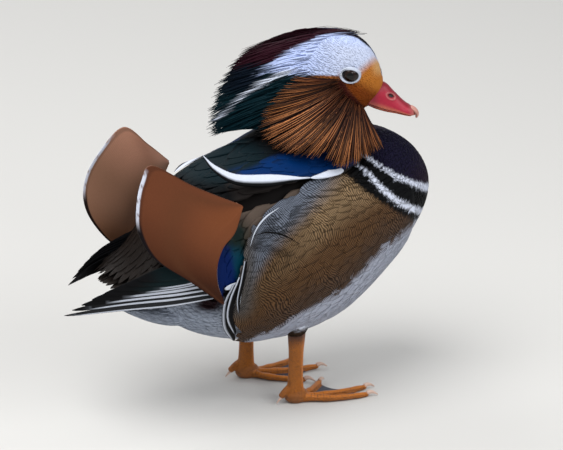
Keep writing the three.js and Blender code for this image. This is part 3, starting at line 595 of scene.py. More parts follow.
def vanes(place, steps=5, columns=3, sharp=3.0, thick=0.2, crown=0.12, root=0.45, end=0.05):
    """Feathers whose webs lie on place(t, side, off), with t from root to tip and side from edge to edge:
    points in rings, their faces, and each point's t and side. The upper face is raised in the middle by
    crown."""
    t = feather_steps(steps)
    top = np.linspace(-1, 1, columns)
    side = np.concatenate([top, top[-2:0:-1]])
    lift = crown * (1 - side**2)
    lift[columns:] -= thick
    full = outline(t, sharp, root, end)[:, None]
    points = place(t[None, :, None], (side * full)[None], (lift * np.minimum(1, full * 1.3))[None])
    count, ring = points.shape[0], len(side)
    near, far = np.arange(columns - 1), (-np.arange(columns - 1)) % ring
    caps = [[near, near + 1, (far - 1) % ring], [near, (far - 1) % ring, far]]
    closing = np.concatenate([np.stack(corners, -1) for corners in caps])
    closing = closing[(closing[:, 0] != closing[:, 2]) & (closing[:, 1] != closing[:, 2])]
    web = halved(grid_faces(steps, ring, around=True))
    web = np.concatenate([web, closing[:, ::-1], closing + (steps - 1) * ring])
    faces = (web[None] + (np.arange(count) * steps * ring)[:, None, None]).reshape(-1, 3)
    along = np.broadcast_to(t[None, :, None], (count, steps, ring))
    across = np.broadcast_to(side[None, None], (count, steps, ring))
    return points, faces, along, across


PLAIN = [0.5, 0.0, 0.5]  # the side, length and chance number that stand for no feather in particular


def marked(piece, name, kind, field, values):
    """Writes an attribute that a finish reads, with one row of values for each point."""
    mark = piece.data.attributes.new(name, kind, "POINT")
    mark.data.foreach_set(field, values.astype(np.float32).ravel())


def dyed(piece, colour, web=None):
    """Writes a piece's colour at each point, and a feather's side, length and chance number."""
    size = len(piece.data.vertices)
    paint = np.concatenate([np.broadcast_to(colour, (size, 3)), np.ones((size, 1))], 1)
    marked(piece, "dye", "FLOAT_COLOR", "color", paint)
    if web is not None:
        marked(piece, "web", "FLOAT_VECTOR", "vector", np.broadcast_to(web, (size, 3)))


def unwrap(points):
    """The skin's own unwrap: the angle round body or head across the map, and the place along it up the
    map."""
    head = to_head(points)
    x, y, z = points.T
    upper = (z > 172) | ((z > 160) & (x > 20))
    around = np.where(upper, np.arctan2(head[:, 1], head[:, 2] + 6), np.arctan2(y, z - 100))
    along = np.where(upper, 0.66 + (head[:, 0] + 95) / 122 * 0.33, 0.01 + (x + 125) / 232 * 0.63)
    return np.stack([0.5 + around / 6.45, along], -1)


def map_of(piece, places):
    """The OFBake map of a piece, from one place for each point."""
    mesh = piece.data
    corners = np.empty(len(mesh.loops), np.int32)
    mesh.loops.foreach_get("vertex_index", corners)
    bake = mesh.uv_layers.new(name="OFBake")
    bake.data.foreach_set("uv", places[corners].astype(np.float32).ravel())


def coated(name, parts, paint, long):
    """One mesh of feathers from results of vanes, with the length of each part's feathers. OFBake keeps a
    small patch of the map for each feather."""
    def each(values):
        """What belongs to each feather, at all its points."""
        repeated = [np.repeat(value, p[0].size // 3, axis=0) for value, (p, _, _, _) in zip(values, parts)]
        return np.concatenate(repeated)

    piece = made(name, *together([(p.reshape(-1, 3), f) for p, f, _, _ in parts]))
    points = np.concatenate([p.reshape(-1, 3) for p, _, _, _ in parts])
    along = np.concatenate([t.ravel() for _, _, t, _ in parts])
    across = np.concatenate([side.ravel() for _, _, _, side in parts])
    chance = each([seed.random(len(p)) for p, _, _, _ in parts])
    root = each([p[:, 0].mean(1) for p, _, _, _ in parts])
    reach = each([np.broadcast_to(size, len(p)) for size, (p, _, _, _) in zip(long, parts)])
    dyed(piece, paint(points, root, along, across, chance), np.stack([across, along * reach, chance], -1))
    map_of(piece, unwrap(root) + 0.0014 * np.stack([across, 2 * along - 1], -1))
    return piece


def on_surface(host, spots, ways, long, wide, low, high, steps, roll, **shape):
    """Feathers that lie on a surface. Each middle line takes equal steps along its way and is laid back on
    the surface after each, and the feather climbs off it from low to high."""
    count = len(spots)
    long, wide = np.broadcast_to(long, count), np.broadcast_to(wide, count)
    t = feather_steps(steps)
    here, up = laid(spots, host)
    way = unit(ways - (ways * up).sum(-1, keepdims=True) * up)
    line, ups, sides = [here], [up], [np.cross(up, way)]
    for k in range(1, steps):
        stride = (long * (t[k] - t[k - 1]))[:, None]
        spot, up = laid(here + way * stride, host)
        way = unit(spot - here)
        here = spot
        line.append(here)
        ups.append(up)
        sides.append(unit(np.cross(up, way)))
    line, ups, sides = (np.stack(part, 1)[:, :, None] for part in (line, ups, sides))
    rise = (low + (high - low) * t**0.8)[None, :, None, None]
    tilt = seed.uniform(-roll, roll, (count, 1, 1, 1))

    def place(_, side, off):
        across = side[..., None] * wide[:, None, None, None]
        return line + sides * across + ups * (off[..., None] + rise + tilt * across)

    return vanes(place, steps=steps, **shape)


def shade(code, gain):
    """A paint that looks like the hexadecimal colour in the studio's light, made lighter or darker by a
    gain."""
    seen = np.array([int(code[k : k + 2], 16) for k in (0, 2, 4)]) / 255
    return np.where(seen < 0.04045, seen / 12.92, ((seen + 0.055) / 1.055) ** 2.4) * gain


def blend(base, colour, share):
    """Colours turned towards another by a share of each."""
    return base + (colour - base) * np.asarray(share)[..., None]


def painted(points, base, *layers):
    """A base paint with others laid over it in turn, each by its share at every point."""
    colour = np.broadcast_to(base, (len(points), 3))
    for paint, share in layers:
        colour = blend(colour, paint, share)
    return colour


def on_line(line, x):
    """The height at X of a line through corners, each given as X and height."""
    return np.interp(x, *np.transpose(line))


def ahead_of(line, x, z):
    """How far X lies ahead of a line that falls as it runs forward, at the same height."""
    line = np.array(line)[::-1]
    return x - np.interp(z, line[:, 1], line[:, 0])


def line_distance(points, line):
    """How far points lie from a line through corners, and how far along the line, from 0 to 1, each is
    nearest."""
    line = np.asarray(line, float)
    best, place = np.full(len(points), 1e9), np.zeros(len(points))
    for k in range(len(line) - 1):
        way = line[k + 1] - line[k]
        t = np.clip(((points - line[k]) @ way) / (way @ way), 0, 1)
        gap = np.linalg.norm(points - line[k] - t[:, None] * way, axis=1)
        nearer = gap < best
        best = np.where(nearer, gap, best)
        place = np.where(nearer, (k + t) / (len(line) - 1), place)
    return best, place


# The head's markings, as places ahead of the eye and heights above it as seen from 20 degrees above.
CROWN_EDGE = [[-57.5, -4.2], [-44, 6.2], [-29.4, 14.6], [-16.9, 19.8], [-6.5, 21.3], [3.9, 17.7],
              [12.3, 11.4], [17.5, 3.1], [19.1, -4.2]]
WHITE_LOW = [[-57.5, -4.4], [-44, -4.2], [-33.6, -5.2], [-21, -5.4], [-8.6, -5.8], [-3, -6.2], [25, -30]]
GOLD_TOP = [[-14, -6.4], [-4, -6.5], [3, -5.4], [7, -2.0], [12.3, 2.6], [18.5, 6.6]]
RUFF_EDGE = [[-26.5, 9.1], [-21.9, 5], [-14.6, -1.8], [-9.4, -5], [-6.9, -8.6]]
STREAK = [[-38, -3.0], [-46, -5.4], [-58.6, -12.5], [-71, -20.9], [-83.6, -32.3]]


def head_dye_and_band_shading(points, chance=0.5):
    """The head's colours: a dark crown over a white band, a golden face, and dark teal below the band."""
    place = to_head(points)
    x, v, beside = place[:, 0], 0.94 * place[:, 2] - 0.342 * np.abs(place[:, 1]), np.abs(place[:, 1]) > 8
    jag = (np.asarray(chance) - 0.5) * ramp(-5, -50, x)
    crown = ramp(-0.5, 0.5, v - on_line(CROWN_EDGE, x) + 2.5 * jag)
    rear = ramp(1, -3, v - on_line([[-75, -1], [-57, 2.5], [-44, 5]], x) + 6 * jag) * ramp(-42, -50, x)
    maroon = ramp(8, -4, x) * (1 - rear)
    dark = painted(points, shade("0a0d12", 0.8), (shade("2c0b18", 0.9), maroon), (shade("06121f", 1.0), rear))
    low = v - on_line(WHITE_LOW, x) + 1.5 * jag
    white = ramp(-0.4, 0.4, low) * (1 - crown) * ramp(-59, -50, x + 10 * jag)
    # The white band takes a second, bluer pale on top of the crown and towards the rear: painted shading, set
    # for how the light falls on the crown's top and on the rear plumes.
    pale = blend(shade("bdc6de", 0.95), shade("a6b4da", 1.2), np.maximum(ramp(0, -34, x), ramp(9, 20, v)))
    gap, along = line_distance(np.stack([x, v], -1), STREAK)
    cheek = ramp(-1.2, 1.2, x - np.interp(v, *np.transpose(RUFF_EDGE))) * ramp(-12, -9, x)
    gold = ramp(5.5, -3.8, v - on_line(GOLD_TOP, x)) * cheek * (1 - crown)
    gold = gold * ramp(0.4, 1.3, on_line(CROWN_EDGE, x) - v)
    face = painted(
        points, shade("b56f2a", 0.85),
        (shade("7d3c0e", 0.85), ramp(-6, -15, v + 0.5 * (x - 6))),
        (shade("c99d68", 0.9), ramp(11, 17, x) * ramp(-8, 0, v)),
    )
    under = ramp(0.4, -0.6, low) * (1 - cheek) * ramp(-30, -16, x) * ramp(-9.5, -7.5, v) * (1 - crown)
    ring = np.hypot((x + 0.6) / 6.4, (place[:, 2] + 0.2 * x) / 5.1)
    return painted(
        points, shade("04222a", 1.0),
        (dark, np.maximum(crown, ramp(-50, -57, x) * ramp(-20, -12, v))),
        (pale, white),
        (shade("cdd4e4", 1.1), ramp(0.4, -0.3, gap - mix(1.6, 0.4, along) + jag)),
        (face, gold),
        (shade("9a5c2c", 0.8), under),
        (shade("3a120b", 1.0), ramp(-7.0, -9.0, v) * (1 - cheek) * ramp(-36, -24, x)),
        (shade("dfe3ea", 1.05), ramp(1.06, 0.92, ring) * beside),
        (shade("060405", 0.8), ramp(0.8, 0.7, ring) * beside),
    )


# The breast's two white stripes, the front edge of the flank's buff and the edge of the belly's white, as X
# and height near the side.
FRONT_STRIPE = [[40, 157.5], [45.5, 153.8], [51.5, 148], [60.3, 141.5], [71.4, 134.7], [81.5, 129.3],
                [90.4, 124.7], [97, 121]]
REAR_STRIPE = [[31, 158], [35, 155.2], [38.1, 149.8], [43.1, 143], [50.3, 134.3], [61.5, 124.3], [73, 117.4],
               [86, 109.8], [96, 106]]
BUFF_EDGE = [[24, 149], [29.6, 143.2], [35.4, 137.2], [42, 131.4], [49.1, 125.8], [59.1, 118.9],
             [69.6, 111.8], [79.9, 104.7]]
BELLY_EDGE = [[-46, 38], [-26.9, 51.5], [-18.4, 55.3], [-8.7, 62.5], [4.8, 67.1], [18.2, 73.4], [31.8, 82.8],
              [40.3, 91.4], [49.6, 97.8], [62.5, 101.1], [79.9, 104.7], [98, 106]]


def body_dye(points, chance=0.5):
    """The body's colours: purple breast with two white stripes on black, white belly and undertail, dark
    back."""
    x, y, z = points[:, 0], -np.abs(points[:, 1]), points[:, 2]
    flat = np.stack([x, z], -1)
    jag = np.asarray(chance) - 0.5
    front, along = line_distance(flat, FRONT_STRIPE)
    rear, far = line_distance(flat, REAR_STRIPE)
    inside = ramp(1, -1, ahead_of(FRONT_STRIPE, x, z)) * ramp(102, 108, z) * ramp(165, 158, z)
    white = ramp(0.5, -0.3, front - mix(0.6, 2.3, along**1.2) + 1.1 * jag)
    white = np.maximum(white, ramp(0.5, -0.3, rear - mix(0.8, 2.2, far) + jag)) * ramp(-6, -14, y)
    low = z - on_line(BELLY_EDGE, x) + 7 * jag
    rim = mix(78, 92, ramp(-50, -80, x))
    belly = ramp(4, -4, low) * ramp(-40, -30, x) + ramp(-30, -40, x) * ramp(2, -2, z - rim + 3 * jag)
    pale = blend(shade("c3c8d6", 1.0), shade("9aa3b4", 0.9), ramp(-20, -70, x))
    patch = np.exp(-(((x + 66) / 8) ** 2) - ((z - 77) / 5) ** 2) * 1.6
    return painted(
        points, shade("15122c", 0.75),
        (shade("2a1526", 0.7), ramp(60, 95, x) * ramp(150, 120, z)),
        (shade("050609", 0.8), inside),
        (shade("cfd5e6", 1.1), white),
        (shade("1b1716", 0.6), ramp(34, 26, x)),
        (pale, np.clip(belly, 0, 1)),
        (shade("1c0a10", 0.9), np.clip(patch, 0, 1) * ramp(-14, -20, y)),
        (shade("3a2a1e", 0.9), ramp(12, 8, np.hypot(x + 3, y + 26)) * ramp(49, 46, z + 2 * jag)),
    )


def up_the_neck(points):
    """A height that leans with the neck, so that it parts head from body."""
    return points[:, 2] + 0.25 * (points[:, 0] - 40)


def coat_dye(points, root, along, across, chance):
    """The colours of head and body, each with its jagged edges from the feathers' chance numbers."""
    return blend(body_dye(points, chance), head_dye_and_band_shading(points, chance), ramp(166, 172, up_the_neck(root)))


LIE = [  # places on the left half of the body, and the way that the coat lies there
    [[100, 0, 125], [-0.3, 0.3, -0.9]],
    [[85, 35, 125], [-0.8, 0.25, -0.55]],
    [[60, 45, 140], [-0.75, 0.2, -0.6]],
    [[60, 15, 158], [-0.7, 0.5, -0.4]],
    [[42, 20, 165], [-0.5, 0.3, -0.8]],
    [[0, 48, 110], [-1, 0, -0.2]],
    [[0, 0, 165], [-1, 0, 0]],
    [[0, 0, 40], [-1, 0, 0]],
    [[85, 0, 75], [-0.8, 0, -0.6]],
    [[-60, 10, 60], [-1, 0, 0.25]],
    [[-60, 0, 150], [-1, 0, -0.25]],
    [[50, 48, 90], [-0.9, 0, -0.4]],
]


def lie_at(points):
    """The way that the coat lies: back from the bill on the head, down the neck, and down and back on the
    body. On the body it is the mean of the ways in LIE, each by a bell of its distance."""
    near = xyz(points[:, 0], np.abs(points[:, 1]), points[:, 2])
    spots, ways = np.transpose(LIE, (1, 0, 2))
    share = np.exp(-(np.linalg.norm(near[:, None] - spots[None], axis=2) ** 2) / 900) + 1e-9
    way = (share @ ways) / share.sum(1, keepdims=True)
    way[:, 1] *= np.sign(points[:, 1])
    fan = unit(to_head(points) - np.array([24, 0, -14]))
    head = unit(fan + np.array([-0.4, 0, 0])) @ HEAD_TURN.T
    return unit(mix(unit(way), head, ramp(166, 176, up_the_neck(points))[:, None]))


def on_head(points):
    """The part of the head that short feathers cover: in front of the crest, clear of eyes and bill."""
    x, y, z = to_head(points).T
    eye = np.hypot(x / 4.5, (z + 0.2 * x) / 3.6) < 1
    bill = (x > 17) & (z < np.interp(x, [14, 21], [-9, -6])) & (np.abs(y) < 8.5)
    return (points[:, 2] > 166) & (x > -34) & ~(eye & (np.abs(y) > 8)) & ~bill


def on_body(points):
    """The part of the body that the folded wings and the flanks leave free."""
    x, y, z = points[:, 0], np.abs(points[:, 1]), points[:, 2]
    angle = np.degrees(angle_at(body_section(x), z))
    wing = (x < 30) & (x > -70) & (angle > 44) & (z > 76) & (y > 20)
    flank_x = np.interp(z, [40, 60, 90, 126, 150], [62, 70, 74, 70, 20])
    flank = (x < flank_x) & (x > -48) & (angle > 60) & (angle < 132)
    back = (x < 40) & (x > -70) & (z > 120) & (angle > 18) & (angle < 44)
    neck_hides = (np.hypot(x - 42, points[:, 1] + 4) < 17) & (z > 150)
    return ~wing & ~flank & ~back & (z < 172) & ~neck_hides


def on_rump(points):
    """The rump's upper side between the wings."""
    return (points[:, 0] < -52) & (points[:, 2] > 86)


def on_breast(points):
    """The body's front."""
    return on_body(points) & (points[:, 0] > 25)


def behind_breast(points):
    """The rest of the body, without the rump."""
    return on_body(points) & (points[:, 0] <= 25) & ~on_rump(points)


def plumage(name, fine=0.36, gloss=0.5, depth=0.00005, tone=0.2, mottle=0.18, specular=0.08):
    """Feathers: the dye, a little lighter or darker from one to the next, with fine slanting barbs that
    catch the light and a soft speckle. It gives the finish, so that more can be laid on its colour."""
    finish = Finish(name, specular_ior_level=specular)
    finish.dye = finish.read("dye")
    finish.across, finish.along, finish.chance = finish.apart(finish.read("web", "Vector"))
    finish.where = finish.place()
    barbs = (finish.along - finish.across.maths("ABSOLUTE") * 1.2).waves(fine)
    shaft = 1 - finish.across.maths("ABSOLUTE").rises(0.0, 0.12)
    speckle = finish.noise(finish.where, 0.9, 3.0)
    # The barbs also make the colour a little lighter and darker in turn: painted light and shade along them.
    light = (finish.chance - 0.5) * tone + (speckle - 0.5) * mottle + (barbs - 0.5) * 0.08 + 1.0
    finish.colour = finish.lit(finish.dye, light)
    rough = (speckle - 0.5) * 0.15 + barbs * 0.06 + gloss
    relief = finish.bump(barbs * 0.6 + shaft * 0.5, depth)
    finish.wear(base_color=finish.colour, roughness=rough, normal=relief)
    return finish


short_feathers = plumage("short_feathers", gloss=0.6).material
head_feathers = plumage("head_feathers", gloss=0.6, tone=0.06, mottle=0.08, depth=0.00001).material

# Each coat: where it grows, its feathers' spacing, length, width, lift at root and tip, steps and crown,
# their size at the face and at the nape, their finish and the coat's slot.
COATS = {
    "coat_head": (on_head, 1.2, 5.2, 0.75, -0.25, 0.1, 4, 0.02, (0.6, 1.5), head_feathers, "head_plumage"),
    "coat_breast": (on_breast, 1.9, 8, 2.0, -0.5, 0.25, 5, 0.1, (1, 1), short_feathers, "body_plumage"),
    "coat_body": (behind_breast, 2.5, 11, 2.8, -0.5, 0.35, 5, 0.1, (1, 1), short_feathers, "body_plumage"),
    "coat_rump": (on_rump, 4.2, 19, 5.0, -0.5, 0.7, 7, 0.25, (1, 1), short_feathers, "body_plumage"),
}
for name, (keep, apart, long, wide, low, high, steps, crown, grow, feathers, slot) in COATS.items():
    spots = scattered(skin, apart, keep)
    ways = lie_at(spots)
    size = seed.uniform(0.85, 1.2, len(spots)) * mix(*grow, ramp(12, -20, to_head(spots)[:, 0]))
    ways = unit(ways + 0.03 * seed.normal(size=ways.shape))
    plumes = on_surface(skin, spots, ways, long * size, wide * size**0.5, low, high, steps,
                        roll=0.02, sharp=2.6, crown=crown)
    piece = coated(name, [plumes], coat_dye, [long * size])
    piece.data.materials.append(feathers)
    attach(piece, "root")

bare_skin = points_of(skin)
dyed(skin, coat_dye(bare_skin, bare_skin, 0, 0, 0.5), PLAIN)
map_of(skin, unwrap(bare_skin))
skin.data.materials.append(short_feathers)
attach(skin, "root")
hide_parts("torso", "neck", "head", "undertail")


# Flanks
#
# The buff panel of soft side feathers that laps over the folded wing. A low pad carries many overlapping
# plumes with fine wavy cross lines, and longer black and white plumes hang from its rear edge.

FLANK_TOP = [[76, 126], [52, 145], [24, 147], [-4, 144.6], [-13.5, 140.5], [-20, 136], [-30, 134.6],
             [-38, 129.5]]
FLANK_REAR = [-38, -45.5, -47.5, -50.8, -52.3, -53.7, -52, -42]  # X at even steps from the top to the belly


def flank_place(a, b, off, side=RIGHT):
    """The flank's panel, a from front to rear and b from its top edge round to the belly, past 0 and 1
    too."""
    upper, rear = through(FLANK_TOP, a), through(FLANK_REAR, b)
    x = upper[..., 0] + (rear + 38) * np.clip(a, 0, 1.2) - 60 * np.maximum(a - 1, 0) + 60 * np.maximum(-a, 0)
    section = fold_section(x)
    return on_section(section, x, mix(angle_at(section, upper[..., 1]), np.radians(140), b), off, side)


def flank_height(a, b):
    """How far the pad stands off the body: crowned in the middle and thin at its edges."""
    full = np.sin(np.pi * np.clip(a, 0, 1)) ** 0.5 * np.sin(np.pi * np.clip(b, 0, 1)) ** 0.5
    return 0.4 + 1.3 * full + a * ramp(0, 0.2, b) + 0.4 * b


def sheet(at, rows, columns, under, over, low=(0, 0), high=(1, 1)):
    """A closed sheet over at(a, b, off) from offset under to over, numbers or functions of a and b: its
    points, faces, a, b, and 1 on its upper face."""
    steps = np.linspace(low[0], high[0], rows), np.linspace(low[1], high[1], columns)
    a, b = np.meshgrid(*steps, indexing="ij")
    offsets = [off(a, b) if callable(off) else np.full(a.shape, float(off)) for off in (over, under)]
    points = np.concatenate([at(a, b, off).reshape(-1, 3) for off in offsets])
    quads, face = grid_faces(rows, columns), rows * columns
    k = np.arange(face).reshape(rows, columns)
    rim = np.concatenate([k[0, :-1], k[:-1, -1], k[-1, :0:-1], k[:0:-1, 0]])
    after = np.roll(rim, -1)
    wall = np.stack([rim, after, after + face, rim + face], -1)
    faces = np.concatenate([quads, quads[:, ::-1] + face, wall[:, ::-1]])
    return points, faces, np.tile(a.ravel(), 2), np.tile(b.ravel(), 2), np.repeat([1.0, 0.0], face)


def web_sheet(name, shell, colour, web=PLAIN, places=None):
    """A piece from a closed shell's points and faces, with its dye, web and OFBake map."""
    points, faces = shell[:2]
    piece = made(name, points, outward(points, faces))
    dyed(piece, colour, web)
    map_of(piece, unwrap(points) if places is None else places)
    return piece


def staggered(rows, columns, low, loose):
    """Places a, from 0 to 1, and b, from 0 to low, in staggered rows and each a chance part of a step
    aside."""
    a, b = np.meshgrid(np.linspace(0, 1, rows), np.linspace(0, low, columns), indexing="ij")
    a = a + (np.arange(columns) % 2) * 0.5 / rows + seed.uniform(-0.35, 0.35, a.shape) / rows
    b = b + seed.uniform(-loose, loose, b.shape) / columns
    return a.ravel(), b.ravel()


# The middle of the buff and the soft fold between two lobes, which a painted shade darkens, as X and
# height, and then the fine lines round the lobes: a black one that opens between two lobes, a painted shade
# of the groove there, and the white rims of the upper and the rear one.
BUFF = [[-56, 60], [-48.3, 73.7], [-41.6, 87], [-30.9, 102.1], [-13.7, 115.6], [4.7, 128.2], [24.4, 138.8],
        [60, 150]]
SHADED_FOLD = [[-44, 115.6], [-38, 114], [-30.8, 111.9], [-20.9, 106.4]]
LINES = [
    [[-14, 112.5], [-23.2, 118.8], [-32, 122.1], [-38, 122.6], [-44.5, 121.3]],
    [[-26, 136], [-34, 132.3], [-40, 127.5], [-44, 122], [-46.8, 115.5]],
    [[-49.3, 107], [-50.8, 96], [-52.3, 85], [-51.6, 74]],
]


def flank_dye_and_fold_shade(points, chance=0.5):
    """Golden buff in a slanting band, pale grey above and behind it, brown below, black and striped ahead
    of its front edge, and white at the belly. Its lobes have white rims, and a painted shade darkens the
    soft fold between two of them."""
    x, z = points[:, 0], points[:, 2]
    jag = np.asarray(chance) - 0.5
    low = z - on_line(BELLY_EDGE, x) + 5 * jag
    above = z - on_line(BUFF, x) + 2 * jag
    gap, _ = line_distance(np.stack([x, z], -1), SHADED_FOLD)
    return painted(
        points, shade("7a644a", 0.95),
        (shade("5a442e", 0.85), ramp(10, -40, x)),
        (shade("5a4029", 0.8), ramp(-2, -26, above)),
        (shade("4a392e", 0.85), ramp(30, 4, low) * ramp(-6, -22, above)),
        (shade("5a606c", 0.95), ramp(2, 20, above) * ramp(34, 6, x)),
        (shade("54504e", 0.85), ramp(-38, -50, x) * ramp(60, 76, z)),
        # a painted shade along the soft fold between two lobes
        (shade("0b0908", 0.8), np.exp(-((gap / 2.2) ** 2)) * 0.5),
        (body_dye(points, chance), ramp(-0.8, 0.8, ahead_of(BUFF_EDGE, x, z) + 2 * jag)),
        (shade("a3a8b8", 1.0), ramp(4, -4, low) * ramp(-40, -30, x)),
    )


def side_plume_dye(points, root, along, across, chance):
    """The flank's colours, with each feather's share of the jagged edges."""
    return flank_dye_and_fold_shade(points, chance)


# The cross lines are finer than the points of the mesh, so the finish draws them. They fade on white and
# black.
flank_finish = plumage("flank_feathers", gloss=0.6, tone=0.03, mottle=0.1)
x, _, z = flank_finish.apart(flank_finish.where)
broad, small = (flank_finish.noise(flank_finish.where, scale, 0.0) for scale in (0.04, 0.35))
bend = broad * 18 + small * 1.6
wave = (x * 0.94 + z * 0.62 + bend).waves(1.25).rises(0.2, 0.8)
red, blue = (flank_finish.node("SeparateColor", None, {0: flank_finish.dye}, out=k) for k in (0, 2))
plain = (red + blue).rises(0.5, 0.7)
plain = plain + (1 - plain) * (1 - (red + blue).rises(0.02, 0.06))
light = (wave * 1.15 + 0.38) * (1 - plain) + plain
flank_feathers = flank_finish.wear(base_color=flank_finish.lit(flank_finish.colour, light))

# The line that the plumes' tips reach at the rear, as height and X.
REAR_LINE = [[47, -42], [58, -48], [66, -52], [78, -53.7], [88, -52.3], [101, -50.8], [111, -47.5],
             [118, -45.5], [129.5, -38]]

# The rear edge's long plumes: the course of each as X and height, from its root down to its tip.
HEM = [
    [[-50, 107], [-52, 96], [-54, 84], [-52, 73]],
    [[-53, 97], [-57.5, 84], [-57, 71], [-47.5, 55]],
    [[-56, 92], [-60, 80], [-56, 64], [-44, 47.5]],
]


def course_vanes(side, courses, wide, low, rise, tilt=0.3, **shape):
    """Feathers along courses on the side, each given by corners as X and height. They climb from low to
    rise, and roll so that one edge lies over the next."""
    courses = np.asarray(courses, float)
    wide, low, rise = (np.broadcast_to(v, len(courses))[:, None, None] for v in (wide, low, rise))

    def place(t, across, off):
        line = np.stack([through(course, t[0]) for course in courses])
        way = np.stack([heading(course, t[0], 0.03) for course in courses])
        x = line[..., 0] + across * wide * way[..., 1]
        z = line[..., 1] - across * wide * way[..., 0]
        section = fold_section(x)
        lift = low + (rise - low) * t + tilt * across + off
        return on_section(section, x, angle_at(section, z), lift, side)

    return vanes(place, **shape)


def side_vanes(side, root, tip, wide, low, rise, free=0.3, tilt=0.6, sag=0.0, **shape):
    """Feathers that lie along the side from root to tip, each given as X and height. They stay low until free
    and then climb to rise, and roll so that their lower edges lie over the next feather by tilt."""
    wide, low, rise, sag = (np.broadcast_to(v, len(root))[:, None, None] for v in (wide, low, rise, sag))
    start, end = (angle_at(fold_section(at[:, 0]), at[:, 1])[:, None, None] for at in (root, tip))
    lie = unit(tip - root)[:, :, None, None]

    def place(t, across, off):
        x = mix(root[:, 0, None, None], tip[:, 0, None, None], t)
        section = fold_section(x)
        shift = across * wide
        angle = mix(start, end, t) + sag * 4 * t * (1 - t) / section["half"]
        turn = angle + shift * np.abs(lie[:, 0]) / np.maximum(8, section["half"])
        lift = low + (rise - low) * ramp(free, 1, t)
        return on_section(section, x - shift * lie[:, 1], turn, lift + tilt * across + off, side)

    return vanes(place, **shape)


def hem_dye(points, root, along, across, chance):
    """Black plumes with a clean white outer edge."""
    edge = ramp(0.45, 0.55, across) * ramp(0.99, 0.9, across) * ramp(1.01, 0.9, along)
    return painted(points, shade("07070a", 0.8), (shade("ccd2e0", 1.0), edge))


def line_dye_and_groove_shade(points, root, along, across, chance):
    """White for a line that starts behind X = -20, and black for one that starts ahead of it, which is the
    painted shade of the groove between two lobes on the flank.
    """
    return np.where(root[:, :1] < -20, shade("ccd3e0", 1.0), shade("060505", 0.8))


for name, side in SIDES.items():
    pad = sheet(lambda a, b, off: flank_place(a, b, off, side), 60, 44, -0.5, flank_height)
    base = web_sheet(f"flank_pad_{name}", pad, flank_dye_and_fold_shade(pad[0]))
    # The plumes are laid on a wider pad, which is taken away again, so that they run on past the edges.
    wider = sheet(lambda a, b, off: flank_place(a, b, off, side), 70, 54, -3, flank_height,
                  (-0.15, -0.3), (1.35, 1.25))
    bed = made("bed", wider[0], outward(*wider[:2]))
    a, b = staggered(34, 28, 1.02, 0.35)
    spots = flank_place(a, b, flank_height(a, b), side)
    drop = mix(0.12, 0.8, ramp(0, 0.6, b)) + 0.2 * a
    ways = unit(xyz(-1, 0 * a, -drop)) + 0.03 * seed.normal(size=(a.size, 3))
    long = mix(15, 21, np.clip(a, 0, 1)) * seed.uniform(0.9, 1.1, a.size)
    tip = spots + unit(ways) * long[:, None]
    rear = on_line(REAR_LINE, tip[:, 2])
    top = on_line([[-46, 118]] + FLANK_TOP[::-1], tip[:, 0])
    long = long * np.clip((tip[:, 0] - rear + 14) / 14, 0.25, 1)
    keep = (tip[:, 0] > rear - 14) & (tip[:, 2] < top + 1.5) & (spots[:, 0] > rear - 2)
    plumes = on_surface(bed, spots[keep], ways[keep], long[keep], 4.6, -0.25, 0.22, 8,
                        roll=0.005, sharp=2.4, columns=5, crown=0.06, thick=0.08)
    coat = coated(f"flank_coat_{name}", [plumes], side_plume_dye, [long[keep]])
    bpy.data.objects.remove(bed)
    plumes = course_vanes(side, HEM, [1.7, 2.4, 3.0], [3.0, 2.2, 1.4], [3.4, 3.0, 2.6], 0.25,
                          sharp=3.2, columns=9, steps=14, root=0.7)
    fringe = coated(f"flank_plumes_{name}", [plumes], hem_dye, [40.0])
    # The first fine line is black, a painted shade of the groove between two lobes. The others are white.
    fine = [course_vanes(side, [line], 0.55, low, low + 0.2, 0, sharp=1.5, columns=5, steps=16, root=0.2)
            for line, low in zip(LINES, (2.95, 2.6, 2.2))]
    rims = coated(f"flank_rims_and_groove_shade_{name}", fine, line_dye_and_groove_shade, [30.0, 30.0, 30.0])
    for piece in (base, coat, fringe, rims):
        piece.data.materials.append(flank_feathers if piece in (base, coat) else short_feathers)
        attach(piece, "root")
    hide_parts(f"flank_{name}")


# Wings
#
# The folded arm lies in its bed on the body's side. Rows of coverts lap from the shoulder to the blue and
# teal secondaries, the last of them tipped by a white bar, and the hand's long primaries reach back over
# the rump.

ARM = {"front": 24, "rear": -66, "top": [148, 133], "bottom": 84}
wing_feathers = plumage("wing_feathers", gloss=0.45, fine=0.5, tone=0.15).material

# The secondaries' courses as X and height, from the one beside the sail forwards.
SECONDARIES = [
    [[-55, 129], [-64, 116], [-68.5, 103], [-67, 92], [-63, 82]],
    [[-52, 127], [-60.5, 115], [-65, 102], [-64, 92], [-60.8, 87]],
    [[-49, 125], [-57, 113], [-61, 101], [-60.5, 94], [-58.6, 89.5]],
    [[-47, 122], [-53.5, 111], [-57, 101], [-57, 95], [-56.2, 91]],
    [[-45, 119], [-50, 109], [-53, 101], [-53.5, 96], [-53.6, 92.5]],
]

# The white bar across the tips of the last secondaries, as X and height.
WHITE_BAR = [[-52.5, 92.3], [-55.8, 91.7], [-59.2, 91.1], [-62.6, 90.3]]


def arm_place(a, b, off, side):
    """The arm's surface, a from shoulder to wrist and b from its top edge down."""
    x = mix(ARM["front"], ARM["rear"], a)
    section = fold_section(x)
    edges = angle_at(section, mix(*ARM["top"], a)), angle_at(section, ARM["bottom"])
    return on_section(section, x, mix(*edges, b), off, side)


